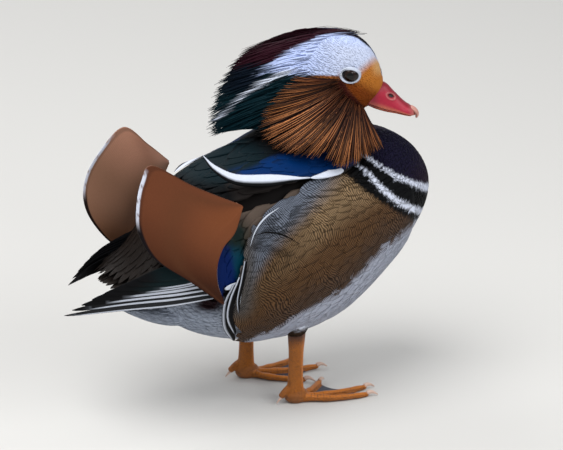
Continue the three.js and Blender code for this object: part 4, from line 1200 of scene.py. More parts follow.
def wing_dye(points, root, along, across, chance):
    """Grey-brown coverts, grey-green and then blue and teal towards the wrist, and black at the end."""
    x, z = points[:, 0], points[:, 2]
    speculum = ramp(119, 113, z + 0.4 * (x + 58) + 3 * (chance - 0.5)) * ramp(-38, -44, x)
    teal = ramp(-57, -53.5, x + 0.16 * (z - 100))
    return painted(
        points, shade("463c35", 1.5),
        (shade("14211f", 1.1), ramp(-42, -50, x) * ramp(134, 126, z)),
        (blend(shade("001f5c", 0.8), shade("033a4c", 0.9), teal), speculum),
        (shade("07070a", 0.8), ramp(92.2, 90.4, z) * ramp(-64, -62, x)),
        (shade("5a4e42", 1.1), ramp(0.8, 0.98, along) * (1 - speculum) * 0.35),
    )


for name, side in SIDES.items():
    pad = sheet(lambda a, b, off: arm_place(a, b, off, side), 40, 24, -2.6, lambda a, b: -1.5 + 0.4 * a)
    arm = web_sheet(f"wing_arm_{name}", pad, wing_dye(pad[0], 0, 0, 0, 0.5))
    share = np.linspace(0, 1, 6)
    roots, tips = [], []
    for row in range(6):
        z = np.linspace(148 - 2.5 * row, 104, 6) + seed.uniform(-1, 1, 6) - 4 * (row % 2)
        x = mix(22, -40, row / 5) + seed.uniform(-1.5, 1.5, 6) - 4 * share
        roots.append(np.stack([x, z], -1))
        tips.append(np.stack([x - 21 + 3 * share, z - mix(6, 11, row / 5)], -1))
    coverts = side_vanes(side, np.concatenate(roots), np.concatenate(tips), 6.2, -1.5, -0.1,
                         free=0.0, tilt=0.14, sharp=2.2, steps=8, columns=7)
    flights = course_vanes(side, SECONDARIES, [3.6, 3.2, 2.8, 2.6, 2.4], [-0.3, -0.5, -0.7, -0.9, -1.1],
                           [0.6, 0.4, 0.2, 0, -0.2], 0.15, sharp=3.6, steps=12, columns=7)
    coat = coated(f"wing_coat_{name}", [coverts, flights], wing_dye, [23.0, 40.0])
    white = course_vanes(side, [WHITE_BAR], 2.0, 0.9, 1.1, 0, sharp=5, columns=7, steps=12, root=0.8)
    bar = coated(f"wing_bar_{name}", [white], line_dye_and_groove_shade, [10.0])
    for piece in (arm, coat, bar):
        piece.data.materials.append(wing_feathers)
        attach(piece, "root")
    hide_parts(f"wing_{name}")


# Each hand: how far back its longest primary reaches, how high it lifts, and the heights of its pad and of
# the primaries' roots and tips, each for the outermost and the innermost.
HAND = {
    "right": {"reach": -154, "rise": 0, "pad": (102, 80), "root": (82, 108), "tip": (76, 100)},
    "left": {"reach": -140, "rise": 13, "pad": (102, 92), "root": (90, 103), "tip": (76, 91)},
}


def lifted(hand, x, z):
    """A height that rises towards the wing's tip."""
    return z + hand["rise"] * ramp(-70, -120, x)


def hand_place(a, b, off, hand, side):
    """The hand's pad behind the arm."""
    x = mix(-66.4, -86, a)
    section = fold_section(x)
    return on_section(section, x, angle_at(section, lifted(hand, x, mix(*hand["pad"], b))), off, side)


def primary_dye(points, root, along, across, chance):
    """Black webs with a silver-white outer edge on the right wing. It ends sooner on the inner feathers,
    and the innermost are plain and dark."""
    inner, right = ramp(80, 108, root[:, 2]), points[:, 1] < 0
    white = right * (root[:, 2] < 103) * ramp(mix(0.97, 0.5, inner), mix(0.86, 0.38, inner), along)
    return painted(
        points, shade("0b0b0e", 0.8),
        (shade("0c2024", 0.9), ramp(0.6, 0.9, inner) * ramp(0.9, 0.6, along) * right),
        (shade("c6ccda", 1.0), white),
    )


# The silver bars are finer than the points of the mesh, so the finish trims the pale colour to the web's
# edge.
primary_finish = plumage("primary_feathers", gloss=0.45, fine=0.5, tone=0.1)
bar = primary_finish.across.rises(0.44, 0.52) * (1 - primary_finish.across.rises(0.88, 0.94))
pale = primary_finish.node("SeparateColor", None, {0: primary_finish.dye}).rises(0.03, 0.2)
trimmed = primary_finish.lit(primary_finish.colour, 1 - pale * (1 - bar) * 0.97)
primary_feathers = primary_finish.wear(base_color=trimmed)
for name, hand in HAND.items():
    side = SIDES[name]
    pad = sheet(lambda a, b, off: hand_place(a, b, off, hand, side), 12, 10, -5.6, -4.2)
    palm = web_sheet(f"wing_hand_{name}", pad, shade("0f1a1e", 0.9))
    share = np.linspace(0, 1, 8)
    root = np.stack([-66 + 0 * share, lifted(hand, -66, mix(*hand["root"], share))], -1)
    x = mix(hand["reach"], hand["reach"] + 40, share**1.15)
    tip = np.stack([x, lifted(hand, x, mix(*hand["tip"], share**0.8))], -1)
    flights = side_vanes(side, root, tip, mix(4.4, 5.0, share), mix(-4.2, -3.4, share), mix(-3.8, 0.7, share),
                         free=0.15, tilt=0.3, sag=3 - 2 * share, sharp=3.0, steps=16, columns=9, thick=0.3)
    coat = coated(f"primary_feathers_{name}", [flights], primary_dye, [60.0])
    for piece in (palm, coat):
        piece.data.materials.append(wing_feathers if piece is palm else primary_feathers)
        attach(piece, "root")
    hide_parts(f"primaries_{name}")


# Sails
#
# The broad satin web of each innermost tertial stands up from the back. It is one curved web either side of a
# shaft, with a pale margin notched in black.

SAIL_SHAFT = [[-63, 45.5, 81], [-69, 48, 94], [-70, 49, 106], [-66, 49.5, 118.5], [-57, 49, 127.5],
              [-50.5, 47, 142]]
SAIL_EDGE = {
    "right": [[-64, 45.5, 80], [-85, 42, 98], [-106.5, 37, 115], [-116, 34, 133], [-116.5, 33, 149],
              [-112, 31, 164], [-104, 31, 173], [-80, 39, 158], [-51, 46.5, 143]],
    "left": [[-66, 45.5, 82], [-93, 38.5, 97], [-112, 31, 117], [-120, 29, 134], [-119, 28, 150],
             [-111, 25, 166], [-96, 21, 181], [-76, 27, 165], [-51, 46, 144]],
}


def sail_place(a, b, off, name, side):
    """The sail, a from its front edge over the shaft at a seventh to the free margin, and b from its low to
    its high end."""
    shaft, edge = through(SAIL_SHAFT, b), through(SAIL_EDGE[name], b)
    t = np.clip((a - 1 / 7) * 7 / 6, 0, 1)[..., None]
    behind = mix(shaft, edge, t)
    forward = (1.6 * np.sin(np.pi * np.clip(b * 1.1, 0, 1)) + 0.4) * (1 - np.clip(a * 7, 0, 1))
    x = shaft[..., 0] + forward
    section = fold_section(x)
    lying = on_section(section, x, angle_at(section, shaft[..., 2]), 2.6)[..., 1]
    lying = mix(shaft[..., 1], lying, 1 if side == RIGHT else ramp(0.8, 0.6, b))
    front = np.stack([x, mix(lying, shaft[..., 1], np.clip(a * 7, 0, 1)), shaft[..., 2]], -1)
    points = np.where(a[..., None] * 7 < 1, front, behind)
    return points * [1, side, 1] + off[..., None] * np.array([0, side, 0])


def sail_dye_and_highlight(a, b, upper):
    """Cinnamon orange, deeper low down, with a pale margin notched in black, and a duller, browner inner
    face that has a painted pink highlight near its top."""
    inner = painted(
        a, shade("7a5a48", 1.7),
        # a painted highlight: pink on the inner face's upper part
        (shade("a47864", 1.75), ramp(0.55, 0.8, b) * ramp(0.2, 0.7, a)),
        (shade("6a4834", 1.4), ramp(0.45, 0.15, b)),
    )
    high = ramp(0.38, 0.46, b)
    slant = (b + 0.5 * (a - 1))[..., None]
    notch = np.exp(-(((slant - [0.46, 0.53, 0.6, 0.67]) / 0.004) ** 2)).sum(-1)
    margin = ramp(0.966, 0.978, a) * high * (1 - np.clip(notch, 0, 1)) * ramp(0.71, 0.66, b)
    return painted(
        a, shade("74422a", 0.75),
        (shade("42200f", 0.75), ramp(0.6, 0.05, b)),
        (shade("8a4f2e", 0.75), np.exp(-(((a - 0.3) / 0.2) ** 2)) * ramp(0.3, 0.9, b) * 0.7),
        (shade("5f3a24", 0.85), np.exp(-(((a - 0.62) / 0.12) ** 2)) * 0.4),
        (inner, 1 - upper),
        (shade("05080f", 0.9), ramp(0.935, 0.955, a) * mix(0.95, 0.3, high)),
        (shade("ced2e0", 1.0), margin),
        (shade("e0cdb6", 1.0), ramp(0.03, 0.0, a) * 0.8 * ramp(0.05, 0.15, b) * ramp(0.75, 0.6, b)),
    )


satin = plumage("satin_feathers", fine=0.6, gloss=0.45, tone=0.0).material
for name, side in SIDES.items():
    shell = sheet(lambda a, b, off: sail_place(a, b, off, name, side), 90, 80,
                  lambda a, b: -0.25 - 0.15 * (a < 0.25), lambda a, b: 0.25 + 0.15 * (a < 0.25))
    a, b, upper = shell[2:]
    web, places = xyz(a - 1 / 7, b * 90, 0.5), np.stack([0.1 + 0.4 * a, 0.1 + 0.8 * b], -1)
    sail = web_sheet(f"sail_web_{name}", shell, sail_dye_and_highlight(a, b, upper), web, places)
    sail.data.materials.append(satin)
    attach(sail, "root")
    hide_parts(f"sail_{name}")


# Shoulders
#
# Long scapular feathers lie over the back and the wing's top edge. They are brown above and deep blue towards
# the wing, and the outermost bear the white crescent with its black border.

SHOULDER = {"front": 36, "rear": -38, "near": 5, "far": 46}
CRESCENT = {
    "right": [[26, 39.6, 151.2], [5, 42.6, 150.2], [-15, 41.2, 151.6], [-34, 39.6, 153.3], [-51, 37, 156.6],
              [-62.6, 32, 164], [-68.4, 27, 172]],
    "left": [[26, 38, 153.6], [5, 39, 153.6], [-15, 37, 148.6], [-33, 30, 147.5], [-48, 19, 151],
             [-58, 13, 151.3], [-66, 10, 149]],
}


def shoulder_place(a, b, off, side):
    """The shoulder's pad over the body, a from front to rear and b from the back to the wing."""
    x = mix(SHOULDER["front"], SHOULDER["rear"], a)
    return on_section(body_section(x), x, np.radians(mix(SHOULDER["near"], SHOULDER["far"], b)), off, side)


def shoulder_dye(points, root, along, across, chance):
    """Brown-black on the back, deep glossy blue over the crescent, and brown below it."""
    x, z = points[:, 0], points[:, 2]
    line = np.array(CRESCENT["right"])[4::-1]
    high = z - np.interp(x, line[:, 0], line[:, 2]) - 1
    top = on_line([[-50, 154], [-44, 156], [-35, 158], [-25, 160.5], [-13, 162]], x) - z
    jag = chance - 0.5
    blue = ramp(-1.2, 0.2, high) * ramp(-1.5, 1.0, top + 2.5 * jag) * ramp(-50, -40, x + 6 * jag)
    return painted(
        points, shade("110f10", 0.5),
        (shade("070d12", 0.45), ramp(-45, -56, x)),
        (shade("0b2229", 0.8), ramp(-10, -30, x) * ramp(6, 1, top) * 0.7),
        (shade("252120", 0.8), ramp(0.5, -1.5, high) * (x > -50)),
        (shade("002a5e", 0.8), blue),
    )


def shoulder_vanes(side, a, b, long):
    """Feathers over the shoulder, each from its root at a and b, running back and a little down."""
    a, b, long = (values[:, None, None] for values in (a, b, long))

    def place(t, across, off):
        start = mix(SHOULDER["front"], SHOULDER["rear"], a)
        x = start - long * t
        section = body_section(x)
        angle = np.radians(mix(SHOULDER["near"], SHOULDER["far"], b)) - 0.06 * t * t * (start < -20)
        lift = mix(0.5, 1.7, t**0.7) + 0.6 * np.minimum(1, 1.5 * a) + 0.12 * across + off
        return on_section(section, x, angle + across * 6.2 / section["half"], lift, side)

    return vanes(place, steps=9, columns=7, sharp=2.0, crown=0.2)


# Each crescent feather: where it starts and ends along the line, its half-width, and how high it lies.
SICKLES = np.array([
    [0.2, 1.0, 4.5, 0.9],
    [0.32, 0.9, 4.6, 0.4],
    [-0.02, 0.18, 3.1, 0.5],
    [0.0, 0.21, 2.8, 0.2],
])


def crescent_vanes(side, line):
    """The crescent's long feathers, lying on one another along the border of blue and wing. The lower edge
    of the left ones curls outward at the rear, and shows beyond the back."""
    first, last, wide, height = (column[:, None, None] for column in SICKLES.T)

    def place(t, across, off):
        share = mix(first, last, t) + 0 * across
        middle = through(line, share) + np.minimum(share, 0)[..., None] * np.array([-130, -side * 14, -4])
        section = body_section(middle[..., 0])
        beside = np.clip(np.abs(middle[..., 1]) / section["half"], 0, 0.99)
        angle = np.arcsin(beside ** (section["square"] / 2))
        ends = [on_section(section, middle[..., 0], angle + turn, 0, side) for turn in (-0.04, 0.04)]
        down, way = unit(ends[1] - ends[0]), heading(line, share, 0.02)
        down = unit(down - (down * way).sum(-1, keepdims=True) * way)
        out = np.cross(down, way) * side
        curl = 0.25 + (side == LEFT) * 1.7 * ramp(0.55, 0.85, share)
        lift = 0.2 + (height - 1.2 * ramp(0.2, 0, t)) + curl * across + off
        return middle + down * (across * wide)[..., None] + out * lift[..., None]

    return vanes(place, steps=18, columns=9, sharp=1.9, root=0.12, crown=0.25)


def crescent_dye(points, root, along, across, chance):
    """White with a black lower border, which the short feathers in front lack."""
    white = np.maximum(ramp(0.3, 0.2, across), ramp(12, 16, root[:, 0]))
    return painted(points, shade("06070a", 0.8), (shade("d2d8e6", 1.05), white))


glossy = plumage("glossy_feathers", fine=0.5, gloss=0.45, tone=0.15, specular=0.05).material
for name, side in SIDES.items():
    pad = sheet(lambda a, b, off: shoulder_place(a, b, off, side), 40, 16, -0.6,
                lambda a, b: 0.3 + 1.6 * np.sin(np.pi / 2 * np.minimum(1, 1.5 * a)) * ramp(-0.1, 0.15, b))
    base = web_sheet(f"shoulder_pad_{name}", pad, shoulder_dye(pad[0], 0, 0, 0, 0.5))
    a, b = staggered(8, 8, 0.93, 0.3)
    long = mix(22, 34, a) * seed.uniform(0.8, 1.15, a.size)
    coat = coated(f"shoulder_coat_{name}", [shoulder_vanes(side, a, b, long)], shoulder_dye, [long])
    sickles = crescent_vanes(side, np.array(CRESCENT[name]) * [1, side, 1])
    crescent = coated(f"crescent_{name}", [sickles], crescent_dye, [45.0])
    for piece in (base, coat, crescent):
        piece.data.materials.append(short_feathers if piece is crescent else glossy)
        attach(piece, "root")
    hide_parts(f"scapulars_{name}")


# Tail
#
# Seven pairs of dark, horny feathers in a low fan, their quills held in the rump. Five rows of shorter
# coverts grow out of the rump above them and run back over their roots.


def tail_dye(points, root, along, across, chance):
    """Dark brown-grey, paler at the edges of the webs."""
    edge = ramp(0.6, 1.0, np.abs(across)) * 0.4
    return painted(points, shade("231d1a", 0.7), (shade("3c3530", 0.75), edge))


def tail_vane(t, across, off):
    """A tail feather from its root, fanned out and falling a little."""
    share, sign = fan_share[:, None, None], fan_side[:, None, None]
    turn = np.radians(sign * 36 * share)
    long = 38 * (1 - 0.22 * share**2)
    x = -84 - np.cos(turn) * long * t + np.sin(turn) * across * 5.4
    y = sign * 9 * share + np.sin(turn) * long * t + np.cos(turn) * across * 5.4
    z = 97 - 8 * t - 4 * share * t + 0.9 * (1 - share) + 0.3 * sign * across - 0.1 * across**2 + off
    return xyz(x, y, z)


fan_share = np.tile((np.arange(7) + 0.5) / 7, 2)
fan_side = np.repeat([RIGHT, LEFT], 7)
fan = vanes(tail_vane, steps=12, columns=7, sharp=4, thick=0.3)
tail = coated("tail_feathers", [fan], tail_dye, [38.0])

# The height of the coverts over the middle line, from the tail to the rump, as X and Z.
COVERT_LINE = [[-119, 94], [-112, 98.5], [-106, 103], [-100, 109], [-95, 116.5], [-90, 125.5], [-84, 134],
               [-76, 142], [-66, 149]]


def covert_vane(t, across, off):
    """A covert from its root on the rump, running back and down over the tail's root and spreading a
    little."""
    x = covert_root[:, None, None] - 25 * t
    y = covert_row[:, None, None] * (1 + 0.5 * t) + across * 4.4
    height = on_line(COVERT_LINE, x) - mix(9, 2.5, ramp(-84, -108, x)) * (y / 16) ** 2
    return xyz(x, y, height + covert_lift[:, None, None] + 0.5 * t + off)


rows = np.repeat(np.arange(5), 9)
covert_root = np.array([-94, -88, -82, -76, -70])[rows] + seed.uniform(-1.5, 1.5, 45)
covert_row = np.tile(np.linspace(-16, 16, 9), 5) + 2 * (rows % 2) + seed.uniform(-0.6, 0.6, 45)
covert_lift = -0.6 + 0.45 * rows
coverts = coated("tail_coverts", [vanes(covert_vane, steps=9, columns=7, sharp=2.4)], tail_dye, [25.0])
for piece in (tail, coverts):
    piece.data.materials.append(wing_feathers)
    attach(piece, "root")
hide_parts("tail")


# Crest
#
# Long silky plumes start on the crown and nape and lie back over each other, maroon above, blue-black and
# dark teal below, with a white streak that carries the head's band to a point. A smooth core fills the crest
# under them.

CREST_ROOT = [[2, 1, 24.6], [-9, 5, 24.2], [-19, 10, 20.5], [-24, 14, 14], [-27, 16, 5], [-28, 16.3, -4],
              [-28, 16, -12], [-27, 15, -20], [-23, 14, -26]]
CREST_TIP = [[-65, 1.5, 11.5], [-67, 3, 9], [-70, 4, 4], [-75, 4.5, -3], [-81, 6, -13], [-86, 6.5, -26],
             [-87, 7, -38], [-84, 8, -48], [-66, 10, -48]]


def back_height(x, y):
    """The height of the bird's back with its feathers: the section squared, and 4 mm higher and 2 mm
    wider."""
    section = body_section(x)
    square = section["square"]
    share = np.clip(np.abs(y) / (section["half"] + 2), 0, 1)
    return section["middle"] + (section["up"] + 4) * (1 - share**square) ** (1 / square)


def crest_vane(t, across, off):
    """A plume of the crest: it bulges a little outwards and up between root and tip, stays above the back and
    ends under the height of the frame."""
    middle = mix(crest_root[:, None, None], crest_tip[:, None, None], t[..., None])
    swell = xyz(0, 3.5 * crest_side, 2.6)[:, None, None]
    middle = middle + np.sin(np.pi * t)[..., None] * swell * (1 - 0.25 * crest_depth[:, None, None, None])
    flat = xyz(0, *crest_flat)[:, None, None]
    sideways = unit(np.cross(flat, unit(crest_tip - crest_root)[:, None, None]))
    under = (off - 1.6 * ramp(0.14, 0, t) - 0.3)[..., None]
    place = from_head(middle + sideways * across[..., None] * crest_wide[:, None, None, None] + flat * under)
    lowest = back_height(place[..., 0], place[..., 1]) + 1.5 + off
    place[..., 2] = np.clip(place[..., 2], lowest, 229.8)
    return place


def crest_dye(points, root, along, across, chance):
    """The head's markings, with each plume's share of the jagged edges."""
    return head_dye_and_band_shading(points, chance)


def crest_core(t, turn):
    """The core under the plumes: an oval section round a line that falls back from the crown."""
    full = np.sin(np.pi * t) ** 0.5
    y = mix(16.2, 8.5, t) * full * np.sin(turn)
    return from_head(xyz(mix(-10, -62, t), y, mix(-1, -16, t) + mix(26, 16.5, t) * full * np.cos(turn)))


count = 3000
crest_side = np.where(np.arange(count) % 2 == 0, RIGHT, LEFT).astype(float)
around = seed.random(count) ** 0.85
crest_depth = seed.random(count)
crest_root = through(CREST_ROOT, around) + seed.normal(size=(count, 3)) * [4.0, 0.3, 0.6]
crest_tip = through(CREST_TIP, np.clip(around + 0.025 * seed.normal(size=count), 0, 1))
crest_tip = crest_tip + seed.normal(size=(count, 3)) * [1.8, 0.8, 1.0]
crest_tip = mix(crest_root, crest_tip, (1 - 0.4 * seed.random(count) ** 1.6)[:, None])
crest_root[:, 1] = np.abs(crest_root[:, 1]) * crest_side * (1 - 0.08 * crest_depth)
crest_tip[:, 1] = np.abs(crest_tip[:, 1]) * crest_side * (1 - 0.4 * crest_depth)
steep = ramp(0.0, 0.35, around)
crest_flat = mix(0.15, 1, steep) * crest_side, mix(1, 0.12, steep)
crest_wide = seed.uniform(0.5, 0.9, count)
plumes = vanes(crest_vane, steps=7, columns=3, sharp=1.6, thick=0.12, crown=0.04, end=0.1)
crest = coated("crest_plumes", [plumes], crest_dye, [45.0])
core = ball(crest_core, 40, 48)
heart = web_sheet("crest_core", core, head_dye_and_band_shading(core[0]))
silk = plumage("silky_plumes", fine=0.5, gloss=0.5, tone=0.16, mottle=0.05, depth=0.00001).material
for piece in (crest, heart):
    piece.data.materials.append(silk)
    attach(piece, "root")
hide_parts("crest")


# Ruff
#
# Pointed hackles start along a line from behind the eye to the gape and fan out over neck and shoulder in
# many overlapping lengths. They are dark chestnut, and many have a fine golden shaft.

# Where the hackles start and end, from the topmost to the one at the gape, in the head's frame.
RUFF_START = [[-7.5, -15, -1.8], [-6, -15.6, -4.8], [-4.2, -15.8, -8.3], [-2, -15.5, -12.3],
              [0.8, -14.8, -16], [3.6, -13.4, -18.8], [6, -12.2, -20.4], [7.8, -11, -22]]
RUFF_END = to_head(np.array([
    [7.9, -7.2, 204.8], [-6.1, 0.3, 188.6], [-11.9, 1, 174], [-14.5, -15, 166], [-9.5, -33, 165],
    [6, -41, 160.5], [21.5, -45.5, 154.5], [37, -42, 155.2], [49, -37, 157.2], [57, -34, 158],
]))


def ruff_dye(points, root, along, across, chance):
    """Dark chestnut webs, some of them nearly black."""
    return painted(
        points, shade("35100a", 0.8),
        (shade("4c1c0e", 0.8), ramp(0.2, 0.8, along)),
        (shade("0e0506", 0.8), ramp(0.4, 0.6, chance) * 0.85),
    )


# The golden shaft is finer than the points of the mesh, so the finish draws it: it brightens towards the
# point.
hackle_finish = plumage("hackles", gloss=0.5, tone=0.3, mottle=0.1, specular=0.1, depth=0.00001)
aside = hackle_finish.across.maths("ABSOLUTE")
# Each web darkens towards its edges: a painted shade for the gaps between the strands.
webs = hackle_finish.lit(hackle_finish.colour, 1 - aside.rises(0.3, 0.9) * 0.75)
shaft = (1 - aside.rises(0.02, 0.4)) * (hackle_finish.along.rises(2.0, 36.0) * 0.8 + 0.2)
shaft = shaft * (1 - hackle_finish.chance.rises(0.4, 0.6) * 0.75)
gold = (*shade("d68d55", 0.95), 1)
hackles = hackle_finish.wear(base_color=hackle_finish.mix(shaft, webs, gold))


def hackle_vanes(side, count):
    """One side's hackles and their lengths. Each runs along the fan from its start to its end share, over
    those of the layers below, and stays outside the head and above the back."""
    layer = np.sort(seed.random(count))
    share = seed.random(count) * (1 if side == RIGHT else 0.82)
    start, end = through(RUFF_START, share), through(RUFF_END, share)
    begin = mix(0.0, 0.35, seed.random(count)) * (1 - 0.6 * layer)
    full = np.where(seed.random(count) < 0.5, 1, seed.random(count))
    reach = mix(0.62, 1.02, full) * seed.uniform(0.88, 1, count)
    slim, swing = seed.uniform(0.65, 1.3, count), seed.uniform(-1.8, 1.8, count)
    fan = heading(RUFF_END, share, 0.03)
    spread = np.linalg.norm(end - start, axis=1)

    def place(t, across, off):
        far = mix(begin[:, None, None], reach[:, None, None], t)
        bow = np.sin(np.pi * np.clip(far, 0, 1)) * (0.12 * spread[:, None, None])
        high = mix(0.2, 2.4, layer)[:, None, None] * ramp(0, 0.2, far) + 0.4 * t - 0.5 * ramp(0.1, 0, t) + off
        middle = mix(start[:, None, None], end[:, None, None], far[..., None])
        shift = across * slim[:, None, None] * mix(0.45, 1, ramp(0, 0.4, far)) + swing[:, None, None] * t
        middle = middle + shift[..., None] * fan[:, None, None]
        middle = middle - (bow + high)[..., None] * np.array([0, 1, 0])
        x, z = middle[..., 0], middle[..., 2]
        near = head_side(x, z) + high * 0.6
        y = np.where(near > 5, np.maximum(-middle[..., 1], near), -middle[..., 1])
        spots = from_head(xyz(x, side * y, z))
        spots[..., 1] = np.minimum(spots[..., 1], 53)
        spots[..., 2] = np.maximum(spots[..., 2], back_height(spots[..., 0], spots[..., 1]) - 1 + 0.5 * high)
        return spots

    return vanes(place, steps=10, columns=7, sharp=1.6, crown=0.3), (reach - begin) * spread


for name, side in SIDES.items():
    fans, long = hackle_vanes(side, 620)
    ruff = coated(f"ruff_hackles_{name}", [fans], ruff_dye, [long])
    ruff.data.materials.append(hackles)
    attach(ruff, "root")
    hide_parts(f"ruff_{name}")


# Bill
#
# A short horny bill in soft crimson with a paler nail at its tip, a slit of a nostril on each side and an
# orange-pink lower edge. The lower half closes against the upper along the gape.

RIDGE = [[13, -8], [21.3, -10], [27, -15.8], [33.2, -22.1], [37.4, -25.1], [40.6, -28.4]]
GAPE = [[8, -20], [15, -22.8], [22, -25.4], [29, -27.2], [35.3, -29.2], [40.4, -31]]
HALF = [8.5, 7.9, 6.9, 6.3, 5.7, 2.6]
LOW = [1.5, 2.4, 2.2, 1.8, 1.3, 0.6]
NAIL = [[36.5, 0, -25.3], [39.6, 0, -27.4], [41.3, 0, -30.2], [40.7, 0, -33.2]]


def bill_end(t):
    """How far the bill's section has opened near its two ends."""
    return np.minimum(1, 4 * np.sin(np.pi * t)) ** 0.6


def nostril(x, z):
    """How far a place on the bill lies from the nostril, in half-widths of its slanting slit."""
    along, above = (x - 24.8) * 0.85 - (z + 17.4) * 0.53, (z + 17.4) * 0.85 + (x - 24.8) * 0.53
    return np.hypot(along / 2.2, above / 1.2)


def upper_bill(t, turn):
    """The upper half: a section from the gape to the ridge, dented round the nostril on each side."""
    share = np.maximum(0, squared(np.cos(turn), 1.7)) * bill_end(t)
    wide = through(HALF, t) * squared(np.sin(turn), 2.5) * bill_end(t)
    x, z = np.moveaxis(mix(through(GAPE, t), through(RIDGE, t), share[..., None]), -1, 0)
    far = nostril(x, z)
    dent, rim = ramp(1.25, 0.6, far), np.exp(-(((far - 1.45) / 0.3) ** 2))
    wide = wide - np.sign(wide) * np.minimum(np.abs(wide), 1.4 * dent - 0.3 * rim)
    return from_head(xyz(x, wide, z))


def lower_bill(t, turn):
    """The lower half, a shallow trough under the gape."""
    edge = through(GAPE, t * 0.97)
    wide = (through(HALF, t * 0.97) - 0.5) * squared(np.sin(turn), 3) * bill_end(t)
    drop = -0.3 - through(LOW, t * 0.97) * np.maximum(0, -squared(np.cos(turn), 2)) * bill_end(t)
    return from_head(xyz(edge[..., 0] - 0.6, wide, edge[..., 1] + drop))


def nail_of_bill(t, turn):
    """The nail, hooked over the tip and rounded at both ends."""
    way = heading(NAIL, t, 0.05)
    close = np.minimum(1, 3 * np.sin(np.pi * t)) ** 0.5
    up = xyz(-way[..., 2], way[..., 1], way[..., 0])
    across = xyz(0, through([2.4, 3.1, 2.7, 1.2], t) * np.sin(turn) * close, 0)
    thick = through([1, 1.3, 1.2, 0.6], t) * np.cos(turn) * close
    return from_head(through(NAIL, t) + across + up * thick[..., None])


def level_on(line, x):
    """The height at X of the smooth curve through a line's corners."""
    return through(line, np.interp(x, np.array(line)[:, 0], np.linspace(0, 1, len(line))))[:, 1]


def bill_dye_and_nostril_shade(points):
    """Crimson, deeper along the ridge, orange-pink at the lower edge, and dark in the nostril: a painted
    shade of its opening.
    """
    x, _, z = to_head(points).T
    gape = level_on(GAPE, x)
    level = (z - gape) / np.maximum(level_on(RIDGE, x) - gape, 1)
    far = nostril(x, z)
    return painted(
        points, shade("ad1c38", 0.85),
        (shade("8c1428", 0.8), ramp(0.6, 1.0, level)),
        (shade("b9604c", 0.9), ramp(0.24, 0.02, level)),
        (shade("b8756c", 0.9), ramp(35, 40, x) * 0.7),
        (shade("7c2430", 0.8), ramp(19, 14, x) * 0.6),
        (shade("c98d84", 0.8), np.exp(-(((far - 1.35) / 0.3) ** 2)) * 0.5),
        # a painted shade in the nostril's opening
        (shade("1c0708", 0.8), ramp(1.0, 0.6, far)),
    )


def nail_dye(points):
    """Pale pinkish horn."""
    return shade("c08a7e", 0.95)


def bare(name, gloss, grain=0.5, depth=0.00008, **even):
    """Bare skin or horn: the dye with a soft mottle and a faint grain."""
    finish = Finish(name, **even)
    mottle = finish.noise(finish.place(), grain, 5.0, 0.6)
    colour = finish.lit(finish.read("dye"), (mottle - 0.5) * 0.4 + 1.0)
    rough = (mottle - 0.5) * 0.25 + gloss
    return finish.wear(base_color=colour, roughness=rough, normal=finish.bump(mottle, depth))


horn = bare("bill_horn", 0.4, 0.6, 0.0001, coat_weight=0.12, coat_roughness=0.3, specular_ior_level=0.3)
BILL = {  # each part's surface, its rings and points round them, its colours and its slot
    "bill_upper": (upper_bill, 110, 120, bill_dye_and_nostril_shade, "bill_skin"),
    "bill_lower": (lower_bill, 40, 48, bill_dye_and_nostril_shade, "bill_skin"),
    "bill_nail": (nail_of_bill, 40, 48, nail_dye, "bill_nail"),
}
for name, (at, rings, around, paint, slot) in BILL.items():
    points, faces = ball(at, rings, around)
    piece = made(name + "_horn", points, outward(points, faces))
    dyed(piece, paint(points))
    piece.data.materials.append(horn)
    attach(piece, "root")
    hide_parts(name)


# Eyes
#
# A dark brown, glossy eye on each side. Its lids are a narrow oval rim of bare skin that lies on the ball,
# white like the feathers round it and black along its inner edge.

EYE = {"x": -0.6, "y": 12.7, "r": 5.9, "deep": 5.7, "wide": 5.05, "high": 3.7, "tilt": -10}


def ball_place(t, turn, side):
    """The eye's ball, r in radius and deep from the middle outwards."""
    x = EYE["x"] + EYE["r"] * np.sin(np.pi * t) * np.cos(turn)
    y = side * (EYE["y"] + EYE["deep"] * np.cos(np.pi * t))
    return from_head(xyz(x, y, EYE["r"] * np.sin(np.pi * t) * np.sin(turn)))


def eye_dye(points):
    """Black pupil, deep brown iris with a warm rim, and a dark edge."""
    x, _, z = to_head(points).T
    far = np.hypot(x - EYE["x"], z)
    iris, edge = ramp(2.1, 2.5, far), ramp(3.3, 4.2, far)
    return painted(points, shade("010101", 0.6), (shade("1c0a04", 0.9), iris), (shade("030202", 0.6), edge))


def lid_place(t, turn, side):
    """The rim of the lids: its section runs from under the feathers over the rim and down on to the ball."""
    tilt = np.radians(EYE["tilt"])
    out = through([1.8, 1.4, 0.8, 0.2, -0.1, -0.35, 0.6], t)
    u, v = (EYE["wide"] + out) * np.cos(turn), (EYE["high"] + out) * np.sin(turn)
    x, z = u * np.cos(tilt) - v * np.sin(tilt), u * np.sin(tilt) + v * np.cos(tilt)
    on_ball = EYE["y"] + EYE["deep"] * np.sqrt(np.maximum(0, 1 - (x**2 + z**2) / EYE["r"] ** 2))
    on_skin = head_side(x + EYE["x"], z)
    height = mix(on_skin, on_ball, through([0, 0.1, 0.5, 0.95, 1, 1, 0.3], t))
    height = height + through([-1.5, 0.1, 0.3, 0.25, 0.05, -1.2, -2], t)
    return from_head(xyz(x + EYE["x"], side * height, z))


def ring_faces(rows, columns):
    """The faces of a grid that is closed both ways, as a ring's is."""
    index = np.arange(rows * columns).reshape(rows, columns)
    below, beside = np.roll(index, -1, 0), np.roll(index, -1, 1)
    return np.stack([index, below, np.roll(below, -1, 1), beside], -1).reshape(-1, 4)


